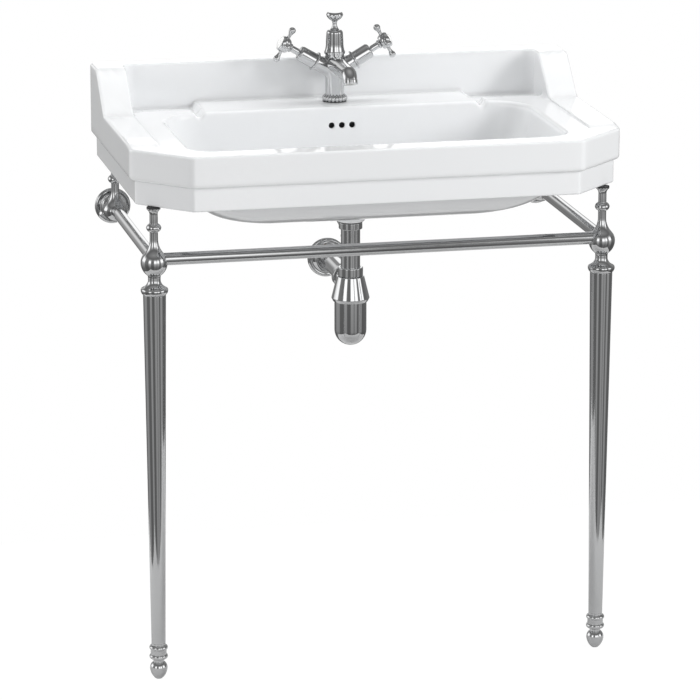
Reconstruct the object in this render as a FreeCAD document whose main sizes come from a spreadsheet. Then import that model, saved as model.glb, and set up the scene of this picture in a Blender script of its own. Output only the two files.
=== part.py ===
import FreeCAD, Part
import os
import re
import Sketcher

from FreeCAD import Placement, Rotation, Vector

# Driving sizes in millimetres, angles in degrees; the wall is at +Y and the floor at Z zero
SIZES = {
    # Ceramic basin
    "basin_width": 800,
    "basin_depth": 470,
    "deck_height": 869.5,
    "upper_band": 51,
    "lower_band": 38.5,
    "band_step": 9,
    "corner_cant": 84,
    "cant_round": 18,
    "upstand_rise": 67.5,
    "upstand_thickness": 19,
    "cheek_thickness": 50,
    "cheek_top_length": 63,
    "cheek_slope_run": 69,
    "cheek_corner_round": 20,
    "kerb_rise": 4,
    "apron_wall": 14,
    "deck_thickness": 20,
    "front_block_width": 92,
    "front_block_depth": 96,
    "rear_block_width": 56,
    "rear_block_depth": 64,
    # Bowl
    "bowl_side_rim": 93,
    "bowl_back_rim": 119,
    "bowl_front_rim": 46,
    "bowl_depth": 138,
    "bowl_wall": 12,
    "bowl_land": 6,
    "bowl_front_round": 38,
    "bowl_back_round": 72,
    "floor_width": 132,
    "floor_length": 92,
    "floor_round": 40,
    # Tap ledge, soap trays and overflow
    "tray_width": 118,
    "tray_depth": 9.5,
    "tray_length": 62,
    "tray_round": 16,
    "notch_width": 13,
    "notch_depth": 7.5,
    "tap_setback": 63,
    "tap_hole_radius": 17.5,
    "overflow_radius": 5,
    "overflow_pitch": 17.3,
    "overflow_drop": 30.5,
    "duct_width": 48,
    "duct_gap": 8,
    "duct_wall": 8,
    "duct_cap": 4,
    "sump_width": 22,
    "sump_height": 8,
    "sump_floor": 6,
    # Waste outlet of the bowl and holes for the wall bolts
    "waste_setback": 185,
    "boss_radius": 24,
    "boss_flare_radius": 38,
    "boss_height": 40,
    "waste_hole_radius": 18,
    "wall_bolt_span": 280,
    "wall_bolt_drop": 52,
    "wall_bolt_radius": 6,
    # Washstand
    "leg_inset": 34,
    "leg_front": 65,
    "rear_setback": 30,
    "post_rise": 83,
    "rail_radius": 10,
    "rail_wall": 1.5,
    "rail_seat": 13,
    "ball_radius": 21,
    "neck_radius": 10,
    "neck_drop": 29,
    "post_radius": 6.6,
    "post_ring_radius": 12,
    "post_ring_height": 13.6,
    "post_ring_rise": 51.5,
    "post_foot_radius": 11,
    "pad_thickness": 2,
    "stud_radius": 5,
    "stud_length": 34,
    "collar_radius": 21.8,
    "collar_height": 28,
    "leg_top_radius": 18.2,
    "leg_bottom_radius": 11.4,
    "leg_wall": 1.5,
    "leg_cap": 12,
    "foot_radius": 15,
    "foot_height": 60,
    "foot_pad_radius": 5,
    "foot_spigot": 16,
    "flange_radius": 29.8,
    "flange_rim": 6,
    "flange_dome": 8.7,
    "flange_spigot_radius": 7,
    "flange_spigot": 9,
    "flange_screw_circle": 23.6,
    "flange_screw_radius": 2.5,
    "grub_radius": 2,
    "grub_length": 4,
    "grub_offset": 15.5,
    # Mixer tap
    "gasket_thickness": 1,
    "base_ring_radius": 21.3,
    "base_ring_height": 12,
    "column_radius": 16,
    "body_rise": 78.5,
    "arm_level": 48.5,
    "arm_angle": 30,
    "arm_radius": 12.5,
    "arm_length": 40,
    "arm_collar_radius": 16.5,
    "arm_collar_width": 3,
    "bonnet_radius": 12.75,
    "bonnet_length": 30,
    "bonnet_round": 4,
    "bonnet_end": 3,
    "valve_radius": 9,
    "valve_start": 22,
    "valve_length": 44,
    "pilot_radius": 3.5,
    "pilot_start": 9,
    "spindle_radius": 4,
    "spindle_overlap": 14,
    "handle_gap": 1.5,
    "handle_reach": 98,
    "stem_radius": 5.5,
    "knuckle_radius": 7.5,
    "hub_radius": 13,
    "hub_length": 16,
    "index_radius": 12.2,
    "index_height": 5.5,
    "index_seat": 1.2,
    "spoke_reach": 26.5,
    "spoke_radius": 2.6,
    "spoke_ball_radius": 5.7,
    "inlet_radius": 4.5,
    "inlet_length": 12,
    "inlet_spread": 8,
    "shank_radius": 15.5,
    "shank_bore_radius": 13,
    "shank_spigot": 8,
    "shank_length": 58,
    "shank_washer_radius": 24,
    "shank_washer_height": 3,
    "shank_nut_radius": 22,
    "shank_nut_height": 10,
    # Spout
    "spout_level": 63.5,
    "spout_reach": 118.5,
    "spout_bend_radius": 14,
    "spout_bend_angle": 70,
    "spout_root_radius": 14.5,
    "spout_tip_radius": 12.2,
    "spout_bore_radius": 7,
    "spout_tail": 5,
    "aerator_radius": 8.6,
    "aerator_length": 7,
    "cross_bore_radius": 3,
    "cross_bore_front": 7.2,
    # Bell cover, lift knob and lift rod
    "bell_radius": 17.3,
    "bell_height": 40,
    "bell_wall": 2,
    "bush_radius": 5,
    "bush_height": 8,
    "knob_radius": 14,
    "knob_height": 29.5,
    "rod_radius": 2.5,
    "rod_length": 272,
    # Pop-up waste
    "waste_flange_radius": 32,
    "waste_flange_height": 3,
    "waste_hub_radius": 23.5,
    "waste_hub_height": 9,
    "throat_radius": 21,
    "throat_lip": 2.5,
    "throat_depth": 7,
    "tail_radius": 16,
    "tail_bore_radius": 13.5,
    "waste_length": 94,
    "slot_width": 14,
    "slot_height": 9,
    "seal_thickness": 1,
    "washer_thickness": 1.5,
    "nut_radius": 19.6,
    "nut_height": 11,
    "pivot_setback": 22,
    "pivot_drop": 73.5,
    "port_angle": 16,
    "port_radius": 7.9,
    "port_length": 6,
    "port_clear_radius": 4.6,
    "pivot_ball_radius": 6,
    "pivot_swing": 6.2,
    "pivot_front": 22,
    "pivot_rear": 116,
    "pivot_nut_radius": 10,
    "pivot_nut_wall": 3,
    "pivot_nut_bore_radius": 4.2,
    "strap_width": 14,
    "strap_thickness": 2.5,
    "strap_length": 100,
    "strap_tail": 12,
    "strap_eye_radius": 4.2,
    "clamp_height": 12,
    "clamp_depth": 9,
    "screw_radius": 2.5,
    "screw_head_radius": 5,
    "screw_head_length": 7,
    "plug_radius": 19.5,
    "plug_dome": 4,
    "plug_rim": 2.5,
    "plug_lift": 4,
    "plug_seal_radius": 17.5,
    "plug_seal_height": 2,
    "blade_width": 10,
    "blade_thickness": 4,
    "blade_offset": 4,
    "blade_tail": 9,
    "eye_radius": 3.7,
    # Bottle trap
    "tail_gap": 23.5,
    "tail_dip": 92,
    "inlet_nut_radius": 20.8,
    "inlet_nut_height": 15,
    "trap_neck_radius": 18.6,
    "inlet_seal_height": 6,
    "cone_top_radius": 22.6,
    "cone_bottom_radius": 31.7,
    "cone_height": 37,
    "cone_lip": 5.5,
    "trap_wall": 2.5,
    "cup_radius": 26.7,
    "cup_wall": 2,
    "cup_neck": 16,
    "cup_drop": 132.5,
    "cup_seal_height": 2,
    "outlet_drop": 26,
    "outlet_boss_radius": 19,
    "outlet_boss_reach": 46,
    "outlet_bore_radius": 10.5,
    "outlet_nut_radius": 22,
    "outlet_nut_length": 14,
    "outlet_seat": 8,
    "outlet_radius": 16,
    "outlet_wall": 1.5,
    "waste_rose_radius": 33.5,
    "waste_rose_rim": 5,
    "waste_rose_height": 13,
    # Fits
    "fit": 0.05,
    "gap": 0.3,
    "pole_flat": 1.5,
    "overrun": 20,
}

# Shares of the bowl's depth at which its outline is given, and the share of the way in to the floor
BOWL_DEPTH_SHARES = (0, 0.30, 0.55, 0.75, 0.88, 0.96, 1)
BOWL_INSET_SHARES = (0, 0.035, 0.085, 0.20, 0.36, 0.60, 1)
QUARTER_ARC_SHARE = 0.41421356

doc = FreeCAD.newDocument("Washbasin")
sheet = doc.addObject("Spreadsheet::Sheet", "Sizes")
for row, (alias, number) in enumerate(SIZES.items(), start=1):
    sheet.set("A%d" % row, alias)
    sheet.set("B%d" % row, str(number))
    sheet.setAlias("B%d" % row, alias)
doc.recompute()

pieces = []

# Levels and places that several pieces share
WALL = "(basin_depth / 2)"
BAND_LEVEL = "(deck_height - upper_band)"
BASIN_BOTTOM = "(deck_height - upper_band - lower_band)"
UPSTAND_FACE = "(basin_depth / 2 - upstand_thickness)"
BOWL_FRONT = "(bowl_front_rim - basin_depth / 2)"
BOWL_BACK = "(basin_depth / 2 - bowl_back_rim)"
BOWL_FLOOR = "(deck_height - bowl_depth)"
BOSS_BOTTOM = "(deck_height - bowl_depth - boss_height)"
TAP_Y = "(basin_depth / 2 - tap_setback)"
WASTE_Y = "(basin_depth / 2 - waste_setback)"
LEG_X = "(basin_width / 2 - leg_inset)"
LEG_Y = "(leg_front - basin_depth / 2)"
REAR_Y = "(basin_depth / 2 - rear_setback)"
RAIL_Z = "(%s - pad_thickness - post_rise)" % BASIN_BOTTOM
COLLAR_BOTTOM = "(%s - neck_drop - collar_height)" % RAIL_Z
BODY_BOTTOM = "(deck_height + gasket_thickness)"
BODY_TOP = "(deck_height + gasket_thickness + body_rise)"
ARM_Z = "(deck_height + arm_level)"
BELL_TOP = "(%s + bell_height)" % BODY_TOP
FLANGE_TOP = BOWL_FLOOR
WASTE_END = "(%s - waste_length)" % BOWL_FLOOR
PIVOT_Y = "(%s + pivot_setback)" % WASTE_Y
PIVOT_Z = "(%s - pivot_drop)" % BOWL_FLOOR
STRAP_Y = "(%s + rod_radius + strap_thickness / 2)" % TAP_Y
TRAP_TOP = "(%s - tail_gap)" % WASTE_END
TAIL_END = "(%s - tail_dip)" % TRAP_TOP
OUTLET_Z = "(%s - outlet_drop)" % TRAP_TOP
CUP_END = "(%s - cup_drop)" % TRAP_TOP
TRAP_NECK_BOTTOM = "(%s - inlet_nut_height)" % TRAP_TOP
CONE_BOTTOM = "(%s - inlet_nut_height - cone_height)" % TRAP_TOP
CUP_TOP = "(%s - cone_lip + cup_neck)" % CONE_BOTTOM

LYING_X = Rotation(Vector(0, 1, 0), 90)
LYING_Y = Rotation(Vector(1, 0, 0), -90)
LYING_FORWARD = Rotation(Vector(1, 0, 0), 90)
UPRIGHT = Rotation()


def bound(text):
    """The same sum with each size named as a cell of the sheet."""
    return re.sub(r"[a-z][a-z_]*", lambda word: "Sizes." + word[0] if word[0] in SIZES else word[0], text)


def value(text):
    """The number that a sum of named sizes comes to."""
    number = sheet.evalExpression(text)
    return float(getattr(number, "Value", number))


def share(number, size):
    """A hand-chosen share of a named size."""
    return "%r * %s" % (number, size)


def seat(item, x="0", y="0", z="0", turn=UPRIGHT):
    """Turn an object and bind its place to the sheet."""
    item.Placement = Placement(Vector(), turn)
    for axis, text in zip("xyz", (x, y, z)):
        item.setExpression("Placement.Base." + axis, bound(text))
    return item


def new_body(label):
    """A new piece with a name of its own."""
    body = doc.addObject("PartDesign::Body", label)
    body.Label = label
    pieces.append(body)
    return body


def outline(body, name, role, points, lift="0"):
    """Closed sketch through points; a third number is the bulge of the side that ends there."""
    sketch = body.newObject("Sketcher::SketchObject", name)
    support = next(item for item in body.Origin.OriginFeatures if item.Role == role)
    sketch.AttachmentSupport = [(support, "")]
    sketch.MapMode = "FlatFace"
    sketch.setExpression("AttachmentOffset.Base.z", bound(lift))
    spots = [Vector(value(point[0]), value(point[1]), 0) for point in points]
    sides = []
    for index, point in enumerate(points):
        start, end = spots[index - 1], spots[index]
        if len(point) == 2:
            sides.append(Part.LineSegment(start, end))
            continue
        half = (end - start) / 2
        crown = start + half + Vector(half.y, -half.x, 0) * point[2]
        sides.append(Part.Arc(start, crown, end) if point[2] > 0 else Part.Arc(end, crown, start))
    sketch.addGeometry(sides, False)
    tails = []
    for index, side in enumerate(sketch.Geometry):
        forward = (side.EndPoint - spots[index]).Length < (side.StartPoint - spots[index]).Length
        tails.append(2 if forward else 1)
    rules = []
    links = []
    for index, point in enumerate(points):
        following = (index + 1) % len(points)
        rules.append(Sketcher.Constraint("Coincident", index, tails[index], following, 3 - tails[following]))
        for kind, text, axis in (("DistanceX", point[0], -2), ("DistanceY", point[1], -1)):
            if text == "0":
                rules.append(Sketcher.Constraint("PointOnObject", index, tails[index], axis))
                continue
            links.append((len(rules), text))
            rules.append(Sketcher.Constraint(kind, -1, 1, index, tails[index], value(text)))
        if len(point) == 3:
            before = points[index - 1]
            chord = "sqrt((%s - (%s))^2 + (%s - (%s))^2)" % (point[0], before[0], point[1], before[1])
            radius = share((1 + point[2] ** 2) / abs(point[2]) / 4, chord)
            links.append((len(rules), radius))
            rules.append(Sketcher.Constraint("Radius", index, value(radius)))
    sketch.addConstraint(rules)
    for index, text in links:
        sketch.setExpression("Constraints[%d]" % index, bound(text))
    return sketch


def feature(body, kind, name, sizes, x="0", y="0", z="0", turn=UPRIGHT):
    """A primitive added to a body or cut from it, bound to the sheet."""
    item = body.newObject("PartDesign::" + kind, name)
    for prop, text in sizes.items():
        item.setExpression(prop, bound(text))
    return seat(item, x, y, z, turn)


def cylinder(body, name, radius, length, x="0", y="0", z="0", turn=UPRIGHT, cut=True):
    """A round bore, or a round boss where cut is false."""
    kind = "SubtractiveCylinder" if cut else "AdditiveCylinder"
    return feature(body, kind, name, {"Radius": radius, "Height": length}, x, y, z, turn)


def box(body, name, corner, size, cut=True):
    """A square cut, or a square lump where cut is false, from its lowest corner."""
    kind = "SubtractiveBox" if cut else "AdditiveBox"
    sizes = dict(zip(("Length", "Width", "Height"), size))
    return feature(body, kind, name, sizes, *corner)


def pad(body, name, sketch, length, cut=False):
    """A sketch padded along its normal, or pocketed the same way."""
    item = body.newObject("PartDesign::Pocket" if cut else "PartDesign::Pad", name)
    item.Profile = sketch
    item.setExpression("Length", bound(length))
    item.Reversed = cut
    return item


def loft(body, name, sections, cut=False):
    """A smooth solid through sections, added or cut."""
    item = body.newObject("PartDesign::SubtractiveLoft" if cut else "PartDesign::AdditiveLoft", name)
    item.Profile = sections[0]
    item.Sections = sections[1:]
    return item


def spin(body, name, points, cut=False):
    """An outline of radius and height turned about the upright axis."""
    sketch = outline(body, name + "_profile", "XZ_Plane", points)
    item = body.newObject("PartDesign::Groove" if cut else "PartDesign::Revolution", name)
    item.Profile = sketch
    item.ReferenceAxis = (sketch, ["V_Axis"])
    return item


def turned(label, points, x="0", y="0", z="0", turn=UPRIGHT):
    """A turned piece: its outline of radius and height, spun and put in place."""
    body = new_body(label)
    spin(body, label + "_turn", points)
    return seat(body, x, y, z, turn)


def ring(label, bore, radius, low, high, x="0", y="0", z="0", turn=UPRIGHT):
    """A plain tube, washer or disc between two heights."""
    return turned(label, [(bore, low), (radius, low), (radius, high), (bore, high)], x, y, z, turn)


def round_edges(body, name, radius, wanted):
    """Fillet of the edges that the test picks from the body's shape so far."""
    doc.recompute()
    base = body.Tip
    chosen = ["Edge%d" % number for number, edge in enumerate(base.Shape.Edges, start=1) if wanted(edge)]
    if not chosen:
        raise RuntimeError("no edge to round for " + name)
    item = body.newObject("PartDesign::Fillet", name)
    item.Base = (base, chosen)
    item.setExpression("Radius", bound(radius))
    return item


def group(label, master, places):
    """Like pieces in one node: the master's shape copied to each place."""
    doc.recompute()
    pieces.remove(master)
    item = doc.addObject("Part::Feature", label)
    item.Label = label
    copies = []
    for x, y, z in places:
        copy = master.Shape.copy()
        copy.translate(Vector(value(x), value(y), value(z)))
        copies.append(copy)
    item.Shape = Part.makeCompound(copies)
    pieces.append(item)


def leaning(angle):
    """Turn that lays the upright axis backwards, at an angle above level."""
    return Rotation(Vector(1, 0, 0), angle - 90)


# Basin

def band_points(inset):
    """Plan of one band: a rectangle with canted front corners, stepped in all round."""
    side = "(basin_width / 2 - %s)" % inset
    front = "(%s - basin_depth / 2)" % inset
    creep = "(sqrt(2) - 1) * %s" % inset
    cant_y = "(corner_cant + %s - basin_depth / 2)" % creep
    cant_x = "(basin_width / 2 - corner_cant - %s)" % creep
    return [("-" + side, WALL), ("-" + side, cant_y), ("-" + cant_x, front), (cant_x, front), (side, cant_y),
            (side, WALL)]


def bowl_points(inset_share, grow):
    """Plan of the bowl part of the way down: a rectangle with round corners, grown by a wall."""
    def between(rim, floor):
        return "(%s + %r * (%s - %s))" % (rim, inset_share, floor, rim)

    half = "(%s + %s)" % (between("(basin_width / 2 - bowl_side_rim)", "floor_width / 2"), grow)
    front = "(%s - %s)" % (between(BOWL_FRONT, "(%s - floor_length / 2)" % WASTE_Y), grow)
    back = "(%s + %s)" % (between(BOWL_BACK, "(%s + floor_length / 2)" % WASTE_Y), grow)
    near = "(%s + %s)" % (between("bowl_front_round", "floor_round"), grow)
    far = "(%s + %s)" % (between("bowl_back_round", "floor_round"), grow)
    arc = QUARTER_ARC_SHARE
    return [
        ("%s - %s" % (half, near), front),
        (half, "%s + %s" % (front, near), arc),
        (half, "%s - %s" % (back, far)),
        ("%s - %s" % (half, far), back, arc),
        ("%s - %s" % (far, half), back),
        ("-" + half, "%s - %s" % (back, far), arc),
        ("-" + half, "%s + %s" % (front, near)),
        ("%s - %s" % (near, half), front, arc),
    ]


def bowl_sections(body, name, grow, top, depth):
    """Sketches of the bowl from rim to floor."""
    sections = []
    for index, (down, inset) in enumerate(zip(BOWL_DEPTH_SHARES, BOWL_INSET_SHARES)):
        level = "%s - %r * %s" % (top, down, depth)
        sections.append(outline(body, "%s_%d" % (name, index), "XY_Plane", bowl_points(inset, grow), level))
    return sections


def cavity_points():
    """Plan of the hollow underside, with solid blocks left in its corners for the posts."""
    side = "(basin_width / 2 - band_step - apron_wall)"
    front = "(band_step + apron_wall - basin_depth / 2)"
    back = "(basin_depth / 2 - apron_wall)"
    near_x = "(basin_width / 2 - front_block_width)"
    near_y = "(front_block_depth - basin_depth / 2)"
    far_x = "(basin_width / 2 - rear_block_width)"
    far_y = "(basin_depth / 2 - rear_block_depth)"
    right = [(near_x, front), (near_x, near_y), (side, near_y), (side, far_y), (far_x, far_y), (far_x, back)]
    left = [("-" + x, y) for x, y in reversed(right)]
    return right + left


def make_basin():
    """The ceramic: two bands, upstand, cheeks, kerbs, ledge, trays, bowl and overflow."""
    body = new_body("basin")
    lower = outline(body, "lower_band_plan", "XY_Plane", band_points("band_step"), BASIN_BOTTOM)
    pad(body, "lower_band_pad", lower, "lower_band")
    upper = outline(body, "upper_band_plan", "XY_Plane", band_points("0 * band_step"), BAND_LEVEL)
    pad(body, "upper_band_pad", upper, "upper_band")
    doc.recompute()

    def at_cant(edge):
        low, high = edge.BoundBox.ZMin, edge.BoundBox.ZMax
        upright = abs(high - low - edge.Length) < value("fit")
        return upright and edge.BoundBox.YMax < value("basin_depth / 4")

    round_edges(body, "cant_rounding", "cant_round", at_cant)
    upstand_high = "upstand_rise + bowl_land"
    base = "(deck_height - bowl_land)"
    box(body, "upstand", ("-basin_width / 2", UPSTAND_FACE, base),
        ("basin_width", "upstand_thickness", upstand_high), cut=False)
    top = "(deck_height + upstand_rise)"
    kerb = "(deck_height + kerb_rise)"
    slope_top = "(%s - cheek_top_length)" % WALL
    slope_foot = "(%s - cheek_top_length - cheek_slope_run)" % WALL
    cant_y = "(corner_cant - basin_depth / 2)"
    cheek = [(WALL, base), (WALL, top), (slope_top, top), (slope_foot, kerb), (cant_y, kerb), (cant_y, base)]
    for name, start in (("left", "-basin_width / 2"), ("right", "basin_width / 2 - cheek_thickness")):
        sketch = outline(body, name + "_cheek_side", "YZ_Plane", cheek, start)
        pad(body, name + "_cheek", sketch, "cheek_thickness")

    def in_corner(edge):
        middle = edge.BoundBox.Center
        near_x = abs(abs(middle.x) - value("basin_width / 2 - cheek_thickness")) < value("fit")
        near_y = abs(middle.y - value(UPSTAND_FACE)) < value("fit")
        return near_x and near_y and middle.z > value("deck_height")

    round_edges(body, "cheek_corner_rounding", "cheek_corner_round", in_corner)
    cavity = outline(body, "cavity_plan", "XY_Plane", cavity_points(), BASIN_BOTTOM)
    pad(body, "cavity", cavity, "upper_band + lower_band - deck_thickness", cut=True)
    loft(body, "bowl_outside", bowl_sections(body, "bowl_outer", "bowl_wall", "(deck_height - bowl_land)",
                                             "(bowl_depth + bowl_wall - bowl_land)"))
    feature(body, "AdditiveCone", "waste_boss", {"Radius1": "boss_radius", "Radius2": "boss_flare_radius",
                                                 "Height": "boss_height"}, "0", WASTE_Y, BOSS_BOTTOM)
    make_overflow_walls(body)
    inner = bowl_sections(body, "bowl_inner", "0 * bowl_wall", "deck_height", "bowl_depth")
    loft(body, "bowl_inside", inner, cut=True)
    make_trays(body)
    make_overflow_cuts(body)
    make_basin_holes(body)


def make_overflow_walls(body):
    """Walls of the overflow duct behind the bowl and of the sump below it."""
    wide = "(duct_width + 2 * duct_wall)"
    low = "(%s - bowl_wall)" % BOWL_FLOOR
    box(body, "duct_housing", ("-%s / 2" % wide, BOWL_BACK, low),
        (wide, "bowl_wall + duct_gap + duct_wall", "bowl_depth + bowl_wall - bowl_land"), cut=False)
    sump_wide = "(sump_width + 2 * sump_floor)"
    sump_low = "(%s - bowl_wall - sump_height - sump_floor)" % BOWL_FLOOR
    reach = "(%s + bowl_wall + duct_gap + duct_wall - %s)" % (BOWL_BACK, WASTE_Y)
    box(body, "sump_housing", ("-%s / 2" % sump_wide, WASTE_Y, sump_low),
        (sump_wide, reach, "sump_height + sump_floor + bowl_wall / 2"), cut=False)


def make_overflow_cuts(body):
    """Three overflow holes, the duct that they drain into and the sump to the waste."""
    back = "(%s + bowl_wall)" % BOWL_BACK
    sump_low = "(%s - bowl_wall - sump_height)" % BOWL_FLOOR
    duct_top = "(deck_height - overflow_drop + overflow_radius + duct_cap)"
    box(body, "duct", ("-duct_width / 2", back, sump_low),
        ("duct_width", "duct_gap", "%s - %s" % (duct_top, sump_low)))
    box(body, "sump", ("-sump_width / 2", WASTE_Y, sump_low),
        ("sump_width", "%s + duct_gap - %s" % (back, WASTE_Y), "sump_height"))
    for step in (-1, 0, 1):
        cylinder(body, "overflow_hole_%d" % (step + 1), "overflow_radius", "overrun + bowl_wall",
                 "%d * overflow_pitch" % step, "%s - overrun" % BOWL_BACK, "deck_height - overflow_drop",
                 LYING_Y)


def make_trays(body):
    """Sunk soap trays beside the tap ledge, each with a notch that drains into the bowl."""
    outer = "(basin_width / 2 - cheek_thickness)"
    ledge = "(basin_width / 2 - cheek_thickness - tray_width)"
    front = "(%s - tray_length)" % UPSTAND_FACE
    floor = "(deck_height - tray_depth)"
    arc = QUARTER_ARC_SHARE
    right = [(ledge, front), ("%s - tray_round" % outer, front), (outer, "%s + tray_round" % front, arc),
             (outer, UPSTAND_FACE), (ledge, UPSTAND_FACE)]
    mirrored = [(outer, UPSTAND_FACE), (outer, "%s + tray_round" % front),
                ("%s - tray_round" % outer, front, arc), (ledge, front), (ledge, UPSTAND_FACE)]
    left = [("-(%s)" % point[0],) + tuple(point[1:]) for point in mirrored]
    for name, points in (("right", right), ("left", left)):
        sketch = outline(body, name + "_tray_plan", "XY_Plane", points, floor)
        pad(body, name + "_tray", sketch, "tray_depth", cut=True)
    for name, start in (("right", ledge), ("left", "-%s - notch_width" % ledge)):
        box(body, name + "_notch", (start, "%s - bowl_back_round" % BOWL_BACK, "deck_height - notch_depth"),
            ("notch_width", "%s + bowl_back_round - %s" % (front, BOWL_BACK), "notch_depth"))


def make_basin_holes(body):
    """Tap hole, waste seat and hole, and the two holes for wall bolts."""
    cylinder(body, "tap_hole", "tap_hole_radius", "deck_thickness + overrun", y=TAP_Y,
             z="deck_height - deck_thickness - overrun / 2")
    cylinder(body, "waste_seat", "waste_flange_radius + gap", "overrun", y=WASTE_Y,
             z="%s - waste_flange_height - seal_thickness" % BOWL_FLOOR)
    cylinder(body, "waste_hub_seat", "waste_hub_radius + gap", "overrun", y=WASTE_Y,
             z="%s - waste_hub_height - gap" % BOWL_FLOOR)
    cylinder(body, "waste_hole", "waste_hole_radius", "boss_height + overrun", y=WASTE_Y,
             z="%s - overrun / 2" % BOSS_BOTTOM)
    for name, sign in (("left", "-"), ("right", "")):
        cylinder(body, name + "_wall_bolt_hole", "wall_bolt_radius", "apron_wall + 2 * overrun",
                 sign + "wall_bolt_span / 2", "%s - apron_wall - overrun" % WALL,
                 "deck_height - wall_bolt_drop", LYING_Y)


# Washstand

def casting_top():
    """Outline of a casting above its ball: shoulder, post, ring and flared top."""
    low = "post_ring_rise - post_ring_height / 2"
    high = "post_ring_rise + post_ring_height / 2"
    return [
        (share(0.76, "ball_radius"), share(0.115, "post_rise"), 0.12),
        ("post_radius", share(0.40, "post_rise"), -0.2),
        ("post_radius", low),
        ("post_ring_radius", "post_ring_rise", 0.28),
        ("post_radius", high, 0.28),
        ("post_radius", share(0.86, "post_rise")),
        ("post_foot_radius", share(0.98, "post_rise"), -0.3),
        ("post_foot_radius", "post_rise"),
        ("0", "post_rise"),
    ]


def rail_socket(body, name, turn, along):
    """Socket for a rail's end, and the threaded hole of its grub screw underneath."""
    start = Vector(along) * value("rail_seat")
    socket = cylinder(body, name + "_socket", "rail_radius + fit", "ball_radius", turn=turn)
    hole = cylinder(body, name + "_grub_hole", "grub_radius + fit", "ball_radius + overrun")
    for axis, number in zip("xyz", start):
        if number:
            sign = "" if number > 0 else "-"
            socket.setExpression("Placement.Base." + axis, bound(sign + "rail_seat"))
            hole.setExpression("Placement.Base." + axis, bound(sign + "grub_offset"))
    hole.setExpression("Placement.Base.z", bound("-(ball_radius + overrun)"))


def make_castings():
    """Front castings stand on the legs; rear castings hang on the wall flanges."""
    lower_front = [
        ("0", "-(neck_drop + stud_length)"),
        ("stud_radius", "-(neck_drop + stud_length)"),
        ("stud_radius", "-neck_drop"),
        ("neck_radius", "-neck_drop"),
        ("neck_radius * 1.05", share(-0.88, "neck_drop")),
        ("ball_radius", "0", 0.3),
    ]
    lower_rear = [
        ("0", "-ball_radius"),
        ("pole_flat", "-ball_radius"),
        ("ball_radius", "0", QUARTER_ARC_SHARE),
    ]
    for side, sign, inward in (("left", "-", (1, 0, 0)), ("right", "", (-1, 0, 0))):
        across = sign + LEG_X
        front = turned(side + "_front_casting", lower_front + casting_top(), across, LEG_Y, RAIL_Z)
        inward_turn = LYING_X if side == "left" else Rotation(Vector(0, 1, 0), -90)
        rail_socket(front, side + "_front_rail", inward_turn, inward)
        rail_socket(front, side + "_front_side_rail", LYING_Y, (0, 1, 0))
        rear = turned(side + "_rear_casting", lower_rear + casting_top(), across, REAR_Y, RAIL_Z)
        rail_socket(rear, side + "_rear_side_rail", LYING_FORWARD, (0, -1, 0))
        cylinder(rear, side + "_flange_socket", "flange_spigot_radius + fit", "ball_radius",
                 y="rear_setback - flange_dome - flange_spigot", turn=LYING_Y)


def make_legs():
    """Bell collars, tapered leg tubes and turned feet."""
    bore = "stud_radius + fit"
    cap = "%s - leg_cap" % COLLAR_BOTTOM
    inside = "leg_bottom_radius - leg_wall"
    high = "collar_height"
    for side, sign in (("left", "-"), ("right", "")):
        turned(side + "_leg_collar", [
            (bore, "0"),
            (share(0.80, "collar_radius"), "0"),
            ("collar_radius", share(0.26, high), 0.25),
            (share(0.90, "collar_radius"), share(0.42, high), 0.3),
            (share(0.46, "collar_radius"), share(0.80, high), -0.25),
            (share(0.46, "collar_radius"), high),
            (bore, high),
        ], sign + LEG_X, LEG_Y, COLLAR_BOTTOM)
        turned(side + "_leg_tube", [
            (inside, "foot_height"),
            ("leg_bottom_radius", "foot_height"),
            ("leg_top_radius", COLLAR_BOTTOM),
            (bore, COLLAR_BOTTOM),
            (bore, cap),
            ("leg_top_radius - 2 * leg_wall", cap),
            (inside, "foot_height + foot_spigot + leg_cap"),
        ], sign + LEG_X, LEG_Y)
        turned(side + "_foot", foot_points(inside), sign + LEG_X, LEG_Y)


def foot_points(inside):
    """Outline of a foot: ball, neck, two beads with a band between, and a spigot."""
    wide, high = "foot_radius", "foot_height"
    return [
        ("0", "0"),
        ("foot_pad_radius", "0"),
        (share(0.94, wide), share(0.27, high), 0.2),
        (share(0.57, wide), share(0.48, high), 0.3),
        (share(0.57, wide), share(0.54, high)),
        (share(0.80, wide), share(0.56, high)),
        (wide, share(0.625, high), 0.3),
        (share(0.86, wide), share(0.69, high), 0.3),
        (share(0.86, wide), share(0.82, high)),
        (wide, share(0.885, high), 0.3),
        ("leg_bottom_radius", share(0.95, high), 0.3),
        ("leg_bottom_radius", high),
        (inside + " - fit", high),
        (inside + " - fit", "foot_height + foot_spigot"),
        ("0", "foot_height + foot_spigot"),
    ]


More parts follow.
